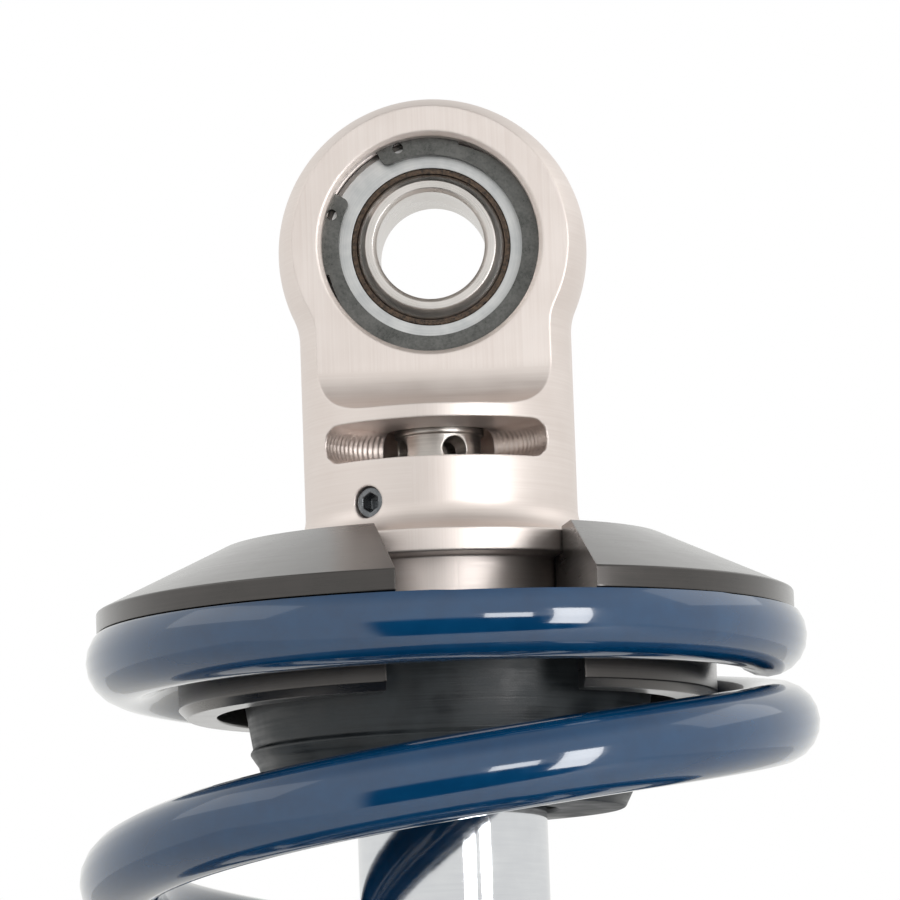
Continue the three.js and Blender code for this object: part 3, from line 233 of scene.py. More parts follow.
def turned(name: str, profile: Profile, centre: Vector = ORIGIN, axis: Axis = Axis.Z,
           segments: int = 96) -> Piece:
    """Turns a closed profile about an axis.

    Args:
        name: of the new object.
        profile: (radius, distance along the axis) points in millimetres, as a loop.
        centre: point on the axis from which the profile is measured, in metres.
        axis: what the profile is turned about.
        segments: steps of the full turn.

    Returns:
        The closed solid.
    """
    along = Vector(axis.value)
    points = [centre + Vector((r * MM, 0, 0)) + along * (h * MM) for r, h in profile]
    obj = outline(name, points)
    with editing():
        bpy.ops.mesh.spin(steps=segments, angle=2 * math.pi, center=centre, axis=along)
        tidy_shell()
    return obj


def prism(name: str, points: Sequence[Vector], way: Vector) -> Piece:
    """A flat outline filled and extruded along a way."""
    obj = outline(name, points)
    with editing():
        bpy.ops.mesh.edge_face_add()
        bpy.ops.mesh.extrude_region_move(TRANSFORM_OT_translate={"value": way})
        tidy_shell()
    return obj


def slab(name: str, start: Vector, along: Vector, side: Vector, height: float) -> Piece:
    """An upright block from start along a way and to both sides of it, with its height in millimetres."""
    corners = [start - side, start + side, start + side + along, start - side + along]
    return prism(name, corners, Vector((0, 0, height)) * MM)


def rod_along(name: str, radius: float, start: Vector, end: Vector, sides: int = 48) -> Piece:
    """A cylinder between two points, with its radius in millimetres."""
    bpy.ops.object.select_all(action="DESELECT")
    length = (end - start).length
    bpy.ops.mesh.primitive_cylinder_add(vertices=sides, radius=radius * MM, depth=length)
    obj = bpy.context.object
    obj.name = name
    turn = (end - start).to_track_quat("Z", "Y").to_matrix().to_4x4()
    obj.data.transform(Matrix.Translation((start + end) / 2) @ turn)
    return obj


def spoke(name: str, radius: float, angle: float, start: float, end: float, centre: Vector,
          sides: int = 48) -> Piece:
    """A cylinder along a radius of the strut, between two distances from a centre on its axis."""
    return rod_along(name, radius, centre + radial(angle, start), centre + radial(angle, end), sides)


def apply_modifier(obj: Piece, kind: str, **settings: Any) -> None:
    """Adds one modifier to obj and applies it."""
    activate(obj)
    modifier = obj.modifiers.new(kind.lower(), kind)
    for key, value in settings.items():
        setattr(modifier, key, value)
    bpy.ops.object.modifier_apply(modifier=modifier.name)


def cut(obj: Piece, *cutters: Piece) -> None:
    """Takes each cutter's solid away from obj and removes the cutter."""
    for cutter in cutters:
        apply_modifier(obj, "BOOLEAN", object=cutter, operation="DIFFERENCE", solver="EXACT")
        bpy.data.objects.remove(cutter)


def smooth(obj: Piece, angle: float = 32.0) -> None:
    """Smooth shading that leaves edges sharper than the angle, with faces weighted by area."""
    activate(obj)
    bpy.ops.object.shade_smooth_by_angle(angle=math.radians(angle))
    apply_modifier(obj, "WEIGHTED_NORMAL", keep_sharp=True, weight=80)


def soften(obj: Piece, width: float, sharpest: float = 35.0) -> None:
    """Breaks to a width the edges that bend by more than so many degrees, and smooths the shading."""
    apply_modifier(obj, "BEVEL", width=width * MM, segments=2, limit_method="ANGLE",
                   angle_limit=math.radians(sharpest), use_clamp_overlap=True)
    smooth(obj)


# --- finishes
def linear(colour: str) -> tuple[float, float, float, float]:
    """An sRGB hex colour as linear RGBA."""
    parts = [int(colour[i:i + 2], 16) / 255 for i in (1, 3, 5)]
    red, green, blue = [c / 12.92 if c <= 0.04045 else ((c + 0.055) / 1.055) ** 2.4 for c in parts]
    return red, green, blue, 1.0


def add_node(tree: bpy.types.NodeTree, kind: str, inputs: dict | None = None,
             **settings: Any) -> bpy.types.Node:
    """Adds a shader node.

    Args:
        tree: the material's or world's nodes.
        kind: the node's type, without ShaderNode.
        inputs: input name or number to its value, the output that feeds it, or the node whose first
            output does.
        settings: the node's own properties.

    Returns:
        The node.
    """
    node = tree.nodes.new(f"ShaderNode{kind}")
    for key, value in settings.items():
        setattr(node, key, value)
    for key, value in (inputs or {}).items():
        source = value.outputs[0] if isinstance(value, bpy.types.Node) else value
        if isinstance(source, bpy.types.NodeSocket):
            tree.links.new(source, node.inputs[key])
        else:
            node.inputs[key].default_value = value
    return node


class Grain(Enum):
    """How the surface was made, as the way that its marks run."""

    TURNED = "rings round the strut"
    MILLED = "rings round the strut, and upright lines on the flats that face along the bores"
    FACED = "rings round the bearing bore"
    PLAIN = "no direction"


@dataclass(frozen=True)
class Finish:
    """One surface finish: a base colour, a gloss and the marks of how it was made.

    Pitch is the spacing of the marks and mottle the size of the patches between the two colours, in
    millimetres. Both are real sizes, or coarser where the real one is too fine to show. Edge is the
    radius in millimetres to which tumbling has rounded the metal's edges, for the shading alone.
    """

    name: str
    slot: str
    colour: str
    deep_colour: str
    metallic: float
    roughness: float
    roughness_spread: float
    grain: Grain = Grain.PLAIN
    pitch: float = 0.25
    stretch: float = 60.0
    depth: float = 0.004
    coat: float = 0.0
    coat_roughness: float = 0.05
    mottle: float = 4.0
    edge: float = 0.0

    def build(self, eye_to_eye: float) -> bpy.types.Material:
        """Makes the material's nodes.

        Args:
            eye_to_eye: distance between the bearing centres, in metres.

        Returns:
            The material, named for the finish.
        """
        material = bpy.data.materials.new(self.name)
        material.use_nodes = True
        tree = material.node_tree
        tree.nodes.clear()
        place = add_node(tree, "TexCoord").outputs["Object"]
        marks = self._marks(tree, place, eye_to_eye)
        cloud = add_node(tree, "TexNoise", {"Scale": 1 / (self.mottle * MM), "Detail": 3.0,
                                            "Vector": place}).outputs["Fac"]
        half = add_node(tree, "Math", {0: marks, 1: 0.5}, operation="MULTIPLY")
        both = add_node(tree, "Math", {0: cloud, 1: 0.5, 2: half}, operation="MULTIPLY_ADD")
        blend = add_node(tree, "MapRange", {"Value": both, "From Min": NOISE_LOW, "From Max": NOISE_HIGH})
        colour = add_node(tree, "Mix", {0: blend, 6: linear(self.deep_colour), 7: linear(self.colour)},
                          data_type="RGBA")
        gloss = add_node(tree, "MapRange", {
            "Value": blend, "To Min": max(self.roughness - self.roughness_spread, MIRROR),
            "To Max": self.roughness + self.roughness_spread})
        bump = add_node(tree, "Bump", {"Height": marks, "Strength": 1.0, "Distance": self.depth * MM})
        if self.edge:
            worn = add_node(tree, "Bevel", {"Radius": self.edge * MM}, samples=6)
            tree.links.new(worn.outputs[0], bump.inputs["Normal"])
        shader = add_node(tree, "BsdfPrincipled", {
            "Base Color": colour.outputs[2], "Metallic": self.metallic, "Roughness": gloss, "IOR": 1.5,
            "Normal": bump, "Coat Weight": self.coat, "Coat Roughness": self.coat_roughness})
        add_node(tree, "OutputMaterial", {"Surface": shader})
        return material

    def _marks(self, tree: bpy.types.NodeTree, place: bpy.types.NodeSocket,
               eye_to_eye: float) -> bpy.types.NodeSocket:
        """Height of the tool marks, from 0 to 1."""
        fine = 1 / (self.pitch * MM)
        coarse = fine / self.stretch
        if self.grain is Grain.FACED:
            across, _, up = add_node(tree, "SeparateXYZ", {0: place}).outputs
            height = add_node(tree, "Math", {0: up, 1: eye_to_eye / 2}, operation="PINGPONG")
            flat = add_node(tree, "CombineXYZ", {0: across, 2: height})
            reach = add_node(tree, "VectorMath", {0: flat}, operation="LENGTH").outputs["Value"]
            place = add_node(tree, "CombineXYZ", {0: reach}).outputs[0]
        ringed = self.grain in (Grain.TURNED, Grain.MILLED)
        scale = (coarse, coarse, fine) if ringed else (fine, fine, fine)
        marks = add_node(tree, "Mapping", {"Vector": place, "Scale": scale}).outputs[0]
        if self.grain is Grain.MILLED:
            lines = add_node(tree, "Mapping", {"Vector": place, "Scale": (fine, coarse, coarse)})
            facing = add_node(tree, "SeparateXYZ", {0: add_node(tree, "TexCoord").outputs["Normal"]})
            square = add_node(tree, "Math", {0: facing.outputs[1], 1: 2.0}, operation="POWER")
            flat = add_node(tree, "Math", {0: square, 1: SQUARE_ON}, operation="GREATER_THAN")
            marks = add_node(tree, "Mix", {0: flat, 4: marks, 5: lines}, data_type="VECTOR").outputs[1]
        return add_node(tree, "TexNoise", {"Vector": marks, "Scale": 1.0, "Detail": 4.0,
                                           "Roughness": 0.6}).outputs["Fac"]


# Aluminium, turned and milled, then anodised in a pale warm tone: satin, with fine tool lines.
SATIN = Finish("satin_champagne_anodised_aluminium", "satin_anodised", "#EEE5E0", "#E6DBD5", 1.0, 0.45,
               0.06, Grain.MILLED, pitch=0.24, stretch=70, depth=0.003, mottle=9.0, edge=0.35)
# Aluminium, turned and anodised dark grey: satin, with a warm cast.
GUNMETAL = Finish("gunmetal_anodised_aluminium", "gunmetal_anodised", "#45413F", "#3D3A38", 1.0, 0.3,
                  0.03, Grain.TURNED, pitch=0.22, stretch=60, depth=0.0015, coat=1.0, coat_roughness=0.22,
                  edge=0.25)
# Polyester powder coat over spring steel: thick, glossy and slightly rippled.
BLUE = Finish("navy_powder_coat", "blue_powder_coat", "#043C63", "#03355A", 0.0, 0.12, 0.03,
              Grain.PLAIN, pitch=2.6, depth=0.004, coat=1.0, coat_roughness=0.03, mottle=7.0)
# Hard chrome, ground and polished: a mirror with faint rings.
CHROME = Finish("hard_chrome", "hard_chrome", "#DFE1E4", "#D8DADE", 1.0, 0.06, 0.02, Grain.TURNED,
                pitch=0.5, stretch=20, depth=0.0006)
# Bearing steel, ground: bright, with fine rings round the bore.
STEEL = Finish("ground_bearing_steel", "polished_steel", "#E2DDD9", "#D2CECA", 1.0, 0.3, 0.06,
               Grain.FACED, pitch=0.25, depth=0.0015)
# Steel, turned: as the bearing steel, with rings round the strut.
STEEL_BARREL = Finish("turned_steel", "polished_steel", "#D9D4CF", "#C6C1BC", 1.0, 0.34, 0.06,
                      Grain.TURNED, pitch=0.2, depth=0.003, edge=0.3)
# Bearing steel race, faced: nearly white, with fine rings round the bore.
RACE = Finish("faced_race_steel", "polished_steel", "#D9D9D8", "#BFC1C2", 1.0, 0.4, 0.06,
              Grain.FACED, pitch=0.26, depth=0.004, mottle=2.0)
# Spring steel, phosphated and oiled: mid grey with worn, lighter patches.
PHOSPHATE = Finish("phosphated_spring_steel", "black_phosphate", "#71716F", "#545553", 0.9, 0.36,
                   0.1, Grain.PLAIN, pitch=0.3, depth=0.006, mottle=3.0)
# Screws, blackened and oiled.
BLACKENED = Finish("black_oxide_steel", "black_oxide", "#84878A", "#686B6E", 0.9, 0.25, 0.08,
                   Grain.PLAIN, pitch=0.3, depth=0.003, mottle=0.8, edge=0.2)
# Woven fabric liner, resin filled: brown, with specks that are nearly black.
LINER = Finish("woven_fabric_liner", "woven_liner", "#6A5747", "#060403", 0.0, 0.75, 0.1,
               Grain.PLAIN, pitch=0.16, depth=0.04, mottle=0.45)
# Nitrile rubber, turned from a moulded blank: fine rings and a dull sheen.
RUBBER = Finish("turned_black_rubber", "black_rubber", "#363B3E", "#1F2326", 0.0, 0.42, 0.12,
                Grain.TURNED, pitch=0.5, stretch=50, depth=0.03)
# Aluminium, clear anodised: even silver.
CLEAR = Finish("clear_anodised_aluminium", "clear_anodised", "#D0D2D5", "#C9CBCF", 1.0, 0.3, 0.02,
               Grain.TURNED, pitch=0.25, stretch=60, depth=0.0015, edge=0.25)
# Bronze-filled bearing strip.
BRONZE = Finish("bronze_filled_strip", "bronze", "#B58A55", "#94683A", 0.9, 0.4, 0.06, Grain.TURNED,
                pitch=0.3, depth=0.003)
# Nylon washer, turned.
NYLON = Finish("black_nylon", "black_nylon", "#2B2C2F", "#1B1C1E", 0.0, 0.4, 0.06, Grain.TURNED,
               pitch=0.3, depth=0.004)
# Matt paper under the strut.
FLOOR = Finish("pale_floor", "none", "#F4F3F1", "#EEEDEB", 0.0, 0.85, 0.05, pitch=2.0, depth=0.02,
               mottle=40.0)

INNER_FINISHES = {
    "satin_anodised": SATIN, "gunmetal_anodised": GUNMETAL, "blue_powder_coat": BLUE,
    "hard_chrome": CHROME, "polished_steel": STEEL, "black_phosphate": PHOSPHATE,
    "black_oxide": BLACKENED, "woven_liner": LINER, "black_rubber": RUBBER,
    "clear_anodised": CLEAR, "bronze": BRONZE, "black_nylon": NYLON,
}

class Paintshop:
    """Keeps one material for each finish and dresses pieces in them."""

    def __init__(self, eye_to_eye: float) -> None:
        """Starts with no material made. The distance between the bearing centres is in metres."""
        self._eye_to_eye = eye_to_eye
        self._made: dict[str, bpy.types.Material] = {}

    def material(self, finish: Finish) -> bpy.types.Material:
        """The finish's material, made the first time it is asked for."""
        if finish.name not in self._made:
            self._made[finish.name] = finish.build(self._eye_to_eye)
        return self._made[finish.name]

    def dress(self, obj: Piece, finish: Finish, body: str, node: str) -> None:
        """Gives a new piece its finish and its place in the frame.

        Args:
            obj: the piece.
            finish: what it is made of.
            body: the CAD body it moves with.
            node: the CAD node it stands for.
        """
        obj.data.materials.clear()
        obj.data.materials.append(self.material(finish))
        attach(obj, body)
        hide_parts(node)
        LOG.info("%s on %s, %d faces", obj.name, body, len(obj.data.polygons))

    def turn(self, name: str, profile: Profile, finish: Finish, body: str, node: str, edge: float,
             segments: int, **place: Any) -> None:
        """Turns a piece, smooths it and dresses it.

        Args:
            name, profile, segments: as for turned().
            finish, body, node: as for dress().
            edge: radius of its rounded edges, in millimetres, or 0 for none.
            place: centre and axis, as for turned().
        """
        piece = turned(name, eased(profile, edge) if edge else profile, segments=segments, **place)
        smooth(piece)
        self.dress(piece, finish, body, node)

    def dress_frame(self, frame: dict) -> None:
        """Gives every CAD node that stays the finish of its material slot."""
        for part in frame["record"]["subparts"]:
            node = frame["nodes"][part["node"]]
            node.data.materials.clear()
            node.data.materials.append(self.material(INNER_FINISHES[part["material_slot"]]))


# --- places in the frame
def span(node: str) -> tuple[float, float]:
    """Lowest and highest point of a CAD node along the strut, in millimetres."""
    low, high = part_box(node)
    return low[2] / MM, high[2] / MM


def middle(node: str) -> Vector:
    """Centre of a CAD node's box, in metres."""
    low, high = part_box(node)
    return (Vector(low) + Vector(high)) / 2


# --- bearings
@dataclass(frozen=True)
class Bearing:
    """Spherical plain bearing with a woven liner, held by two eared retaining rings."""

    bore: float = 12.7
    ball_diameter: float = 19.84
    ball_width: float = 12.7
    ball_chamfer: float = 0.45
    ball_edge: float = 0.12
    liner_gap: float = 0.09
    liner_thickness: float = 0.46
    race_gap: float = 0.05
    race_diameter: float = 25.4
    race_width: float = 9.9
    race_chamfer: float = 0.6
    race_edge: float = 0.15
    clip_start: float = 5.05
    clip_thickness: float = 1.07
    clip_radius: float = 13.25
    clip_width: float = 2.5
    clip_edge: float = 0.1
    lug_angle: float = 44.0
    lug_corner: float = 0.9
    relief: float = 0.85
    relief_angle: float = 50.0
    gap_angle: float = 31.0
    gap_centre: float = 133.5
    hole_circle: float = 12.2
    hole_angle: float = 11.5
    hole_diameter: float = 1.25

    def build(self, shop: Paintshop, end: str, body: str) -> None:
        """Makes the bearing of one end.

        Args:
            shop: dresses the pieces.
            end: upper or lower, as in the CAD nodes' names.
            body: the CAD body that the race moves with.
        """
        centre = middle(f"{end}_bearing_race")
        for kind, profile, finish, rides, edge in (
                ("ball", self._ball(), STEEL, f"{end}_ball", self.ball_edge),
                ("liner", self._liner(), LINER, body, 0.0),
                ("race", self._race(), RACE, body, self.race_edge)):
            shop.turn(f"{end}_{kind}", profile, finish, rides, f"{end}_bearing_{kind}", edge, 144,
                      centre=centre, axis=Axis.Y)
        for side, angle in (("front", 0.0), ("rear", 180.0)):
            ring = self._clip(f"{end}_clip_{side}", centre)
            turn = Matrix.Rotation(math.radians(angle), 4, "Z")
            ring.data.transform(Matrix.Translation(centre) @ turn @ Matrix.Translation(-centre))
            shop.dress(ring, PHOSPHATE, body, f"{end}_retaining_ring_{side}")

    def _ball(self) -> Profile:
        bore, half = self.bore / 2, self.ball_width / 2
        edge = math.degrees(math.asin(self.ball_width / self.ball_diameter))
        mouth = [(bore + self.ball_chamfer, half), (bore, half - self.ball_chamfer)]
        return [*arc(0, 0, self.ball_diameter / 2, -edge, edge, 40), *mouth, *mirrored(mouth)]

    def _band(self, radius: float) -> Profile:
        edge = math.degrees(math.asin(self.race_width / 2 / radius))
        return arc(0, 0, radius, -edge, edge, 24)

    def _liner(self) -> Profile:
        inner = self.ball_diameter / 2 + self.liner_gap
        return [*self._band(inner + self.liner_thickness), *reversed(self._band(inner))]

    def _race(self) -> Profile:
        half, outer, chamfer = self.race_width / 2, self.race_diameter / 2, self.race_chamfer
        inner = self.ball_diameter / 2 + self.liner_gap + self.liner_thickness + self.race_gap
        return [(outer - chamfer, -half), (outer, chamfer - half), (outer, half - chamfer),
                (outer - chamfer, half), *reversed(self._band(inner))]

    def _clip(self, name: str, centre: Vector) -> Piece:
        """The ring in front of the race: a lug each side of its gap, each with a plier hole."""
        start = self.gap_centre + self.gap_angle / 2
        end = 360 + self.gap_centre - self.gap_angle / 2
        inner = self.clip_radius - self.clip_width
        steps = 240
        angles = [start + (end - start) * i / steps for i in range(steps + 1)]
        outside = [polar(self._reach(min(angle - start, end - angle)), angle) for angle in angles]
        circle = inner + self.lug_corner
        turn = math.degrees(self.lug_corner / circle)
        inside = arc(0, 0, inner, end - turn, start + turn, steps // 2)
        ring = [*outside, *self._corner(circle, end - turn, 90), *inside[1:-1],
                *self._corner(circle, start + turn, 180)]
        face = centre + Vector((0, -self.clip_start * MM, 0))
        points = [face + Vector((x * MM, 0, y * MM)) for x, y in ring]
        clip = prism(name, points, Vector((0, -self.clip_thickness * MM, 0)))
        for angle in (start + self.hole_angle, end - self.hole_angle):
            across, up = polar(1, angle)
            place = centre + Vector((across, 0, up)) * (self.hole_circle * MM)
            reach = Vector((0, (self.clip_start + 2 * self.clip_thickness) * MM, 0))
            cut(clip, rod_along("plier_hole", self.hole_diameter / 2, place, place - reach, 32))
        soften(clip, self.clip_edge)
        return clip

    def _reach(self, from_end: float) -> float:
        """Radius of the ring's outer edge, some degrees from its end: it stands back past a lug."""
        if from_end < self.lug_angle:
            return self.clip_radius
        rise = smoothstep((from_end - self.lug_angle) / self.relief_angle)
        return self.clip_radius - self.relief * (1 - rise)

    def _corner(self, circle: float, angle: float, turn: float) -> Profile:
        """Round inner corner of a lug's end, centred on a circle at an angle."""
        return arc(*polar(circle, angle), self.lug_corner, angle + turn, angle + turn + 90, 8)


# --- eyes
@dataclass(frozen=True)
class SetScrew:
    """Socket set screw in a hole that runs along a radius."""

    diameter: float
    socket: float
    angle: float
    edge: float = 0.18

    def hole(self, centre: Vector, start: float, end: float) -> Piece:
        """Cutter for its hole, between two distances from a centre."""
        return spoke("screw_hole", self.diameter / 2 + CLEARANCE, self.angle, start, end, centre)

    def build(self, name: str, centre: Vector, start: float, end: float) -> Piece:
        """The screw between two distances from a centre, with its hexagon open at the second."""
        screw = spoke(name, self.diameter / 2, self.angle, start, end, centre)
        tip, head = centre + radial(self.angle, start), centre + radial(self.angle, end)
        way = (head - tip).normalized()
        cut(screw, rod_along("hexagon", self.socket / math.sqrt(3), head - way * self.diameter * MM / 2,
                             head + way * MM, 6))
        soften(screw, self.edge)
        return screw


@dataclass(frozen=True)
class Eye:
    """Ball end with two milled flats and a bearing housing, shared by both ends of the strut."""

    radius: float = 18.2
    neck_radius: float = 16.0
    fillet: float = 7.0
    flat_distance: float = 8.25
    flat_length: float = 20.0
    ramp_radius: float = 6.0
    housing_radius: float = 12.75
    groove_radius: float = 13.45
    groove_start: float = 5.0
    groove_end: float = 6.22
    mouth_chamfer: float = 0.5

    def profile(self) -> Profile:
        """Outline of the ball and its fillet, from the crown down to the neck."""
        reach = self.neck_radius + self.fillet
        depth = math.sqrt((self.radius + self.fillet) ** 2 - reach**2)
        tangent = math.degrees(math.atan2(depth, reach))
        return [*arc(0, 0, self.radius, 90, -tangent, 60),
                *arc(reach, -depth, self.fillet, 180 - tangent, 180, 12)[1:]]

    def mill(self, blank: Piece, centre: Vector, up: int) -> None:
        """Cuts both flats and the bearing's seat.

        Args:
            blank: the turned piece.
            centre: of the bearing, in metres.
            up: 1 where the neck runs down from the ball, -1 where it runs up.
        """
        far = self.radius + 4 * PAST
        for side in (-1, 1):
            ramp = arc(self.flat_distance + self.ramp_radius, self.ramp_radius - self.flat_length,
                       self.ramp_radius, 180, 270, 24)
            outer = [(self.flat_distance, far), *ramp, (far, -self.flat_length), (far, far)]
            points = [centre + Vector((-far, side * y, up * z)) * MM for y, z in outer]
            cut(blank, prism("flat", points, Vector((2 * far * MM, 0, 0))))
        mouth, outside = self.flat_distance - self.mouth_chamfer, self.flat_distance + PAST
        half = [(self.housing_radius, self.groove_start), (self.groove_radius, self.groove_start),
                (self.groove_radius, self.groove_end), (self.housing_radius, self.groove_end),
                (self.housing_radius, mouth),
                (self.housing_radius + self.mouth_chamfer + PAST, outside), (0, outside)]
        cut(blank, turned("housing", [*mirrored(half), *half], centre, Axis.Y, 144))


@dataclass(frozen=True)
class UpperEyelet:
    """Upper eye with its adjuster window, spring seat flange, spigot and lock screw."""

    eye: Eye = Eye()
    edge: float = 0.3
    cut_edge: float = 0.25
    window_top: float = 21.6
    window_height: float = 4.5
    window_radius: float = 14.0
    window_offset: float = 14.5
    chatter: float = 0.17
    adjuster_bore: float = 13.7
    flange_radius: float = 20.3
    flange_depth: float = 34.9
    flange_height: float = 2.8
    flare_radius: float = 3.6
    spigot_radius: float = 15.9
    length: float = 46.0
    stud_bore: float = 16.0
    stud_length: float = 17.4
    screw: SetScrew = SetScrew(3.6, 2.0, FRONT - 30.0)
    screw_depth: float = 31.0
    screw_hole_start: float = 4.0
    screw_recess: float = 0.5
    barrel_radius: float = 4.9
    barrel_rim: float = 0.35
    barrel_rim_height: float = 0.85
    barrel_top: float = 21.2
    barrel_gap: float = 0.2
    barrel_edge: float = 0.15
    tommy_diameter: float = 3.0
    tommy_depth: float = 23.9
    tommy_angle: float = FRONT + 24.0
    tommy_edge: float = 0.2
    stem_radius: float = 3.1
    stem_length: float = 10.0

    def build(self, shop: Paintshop) -> None:
        """Makes the eyelet, the rebound adjuster and the lock screw."""
        centre = middle("upper_bearing_race")
        shop.dress(self._eyelet(centre), SATIN, "rod", "upper_eyelet")
        shop.dress(self._adjuster(centre), STEEL_BARREL, "adjuster", "rebound_adjuster")
        screw = self.screw.build("lock_screw", centre + Vector((0, 0, -self.screw_depth)) * MM,
                                 self.stud_bore / 2, self.eye.neck_radius - self.screw_recess)
        shop.dress(screw, BLACKENED, "rod", "eyelet_lock_screw")

    def _eyelet(self, centre: Vector) -> Piece:
        neck, bottom = self.eye.neck_radius, -(self.flange_depth + self.flange_height)
        flare = arc(neck + self.flare_radius, self.flare_radius - self.flange_depth,
                    self.flare_radius, 180, 270, 16)
        rims = eased([(neck, -self.window_top), *flare, (self.flange_radius, -self.flange_depth),
                      (self.flange_radius, bottom), (self.spigot_radius, bottom),
                      (self.spigot_radius, -self.length), (0, -self.length), (0, 0)], self.edge)
        profile = [*self.eye.profile(), *[p for p in rims if p[1] < -self.window_top], (0, -self.length)]
        blank = turned("eyelet", profile, centre, segments=160)
        self.eye.mill(blank, centre, 1)
        half = self.window_height / 2
        groove = [(0, -half), *arc(self.window_radius - half, 0, half, -90, 90, 16), (0, half)]
        axis = centre + Vector((0, -self.window_offset, -self.window_top - half)) * MM
        shoulder, floor = self.stud_length - self.length, -self.length - PAST
        bore = stepped(0, floor, self.stud_bore / 2, shoulder, self.adjuster_bore / 2,
                       PAST - self.window_top)
        cut(blank, self._window(groove, axis), turned("bore", bore, centre),
            self.screw.hole(centre + Vector((0, 0, -self.screw_depth)) * MM, self.screw_hole_start,
                            neck + 2 * PAST))
        soften(blank, self.cut_edge, sharpest=50)
        return blank

    def _window(self, groove: Profile, axis: Vector) -> Piece:
        """The window's solid, with the chatter marks of the cutter round its edge."""
        steps = 240
        window = turned("window", groove, axis, segments=steps)
        shrink = 1 - self.chatter / self.window_radius
        for vertex in window.data.vertices:
            out = vertex.co - axis
            step = round(math.atan2(out.y, out.x) / (2 * math.pi) * steps)
            if step % 2:
                vertex.co = axis + Vector((out.x * shrink, out.y * shrink, out.z))
        return window

    def _adjuster(self, centre: Vector) -> Piece:
        """Barrel with a rim and two crossing tommy bar holes, on a stem that enters the shaft."""
        rim = self.barrel_radius + self.barrel_rim
        foot = self.stud_length - self.length + self.barrel_gap
        rim_bottom = -self.barrel_top - self.barrel_rim_height
        tip = foot - self.stem_length - self.barrel_gap
        profile = stepped(0, tip, self.stem_radius, foot, self.barrel_radius, rim_bottom, rim,
                          -self.barrel_top)
        barrel = turned("adjuster_barrel", eased(profile, self.barrel_edge), centre)
        hub = centre + Vector((0, 0, -self.tommy_depth)) * MM
        for turn in (0, 90):
            reach = radial(self.tommy_angle + turn, rim + PAST)
            cut(barrel, rod_along("tommy_hole", self.tommy_diameter / 2, hub - reach, hub + reach))
        soften(barrel, self.tommy_edge)
        return barrel

# --- spring and its seats
@dataclass(frozen=True)
class UpperSeat:
    """C-shaped upper spring seat: a cone with a rim, a pilot inside the spring and a side slot."""

    flange_bore: float = 20.5
    spigot_bore: float = 16.1
    counterbore: float = 37.8
    land_radius: float = 26.0
    land_depth: float = 34.8
    radius: float = 40.9
    cone_height: float = 7.0
    rim_height: float = 2.5
    pilot_radius: float = 31.55
    pilot_height: float = 10.1
    pilot_chamfer: float = 1.0
    recess_radius: float = 27.1
    recess_depth: float = 45.9
    slot_width: float = 22.6
    slot_height: float = 24.1
    slot_angle: float = FRONT + 10.5
    edge: float = 0.3
    cut_edge: float = 0.28

    def build(self, shop: Paintshop) -> None:
        """Makes the seat."""
        centre = middle("upper_bearing_race")
        underside = -(self.land_depth + self.cone_height + self.rim_height)
        bottom = underside - self.pilot_height
        profile = [(self.spigot_bore, -self.counterbore), (self.flange_bore, -self.counterbore),
                   (self.flange_bore, -self.land_depth), (self.land_radius, -self.land_depth),
                   (self.radius, -self.land_depth - self.cone_height), (self.radius, underside),
                   (self.pilot_radius, underside), (self.pilot_radius, bottom + self.pilot_chamfer),
                   (self.pilot_radius - self.pilot_chamfer, bottom), (self.recess_radius, bottom),
                   (self.recess_radius, -self.recess_depth), (self.spigot_bore, -self.recess_depth)]
        seat = turned("upper_seat", eased(profile, self.edge), centre, segments=192)
        cut(seat, slab("slot", centre + Vector((0, 0, bottom - PAST)) * MM,
                       radial(self.slot_angle, self.radius + 2 * PAST),
                       radial(self.slot_angle + 90, self.slot_width / 2), self.slot_height))
        soften(seat, self.cut_edge)
        shop.dress(seat, GUNMETAL, "rod", "upper_spring_seat")


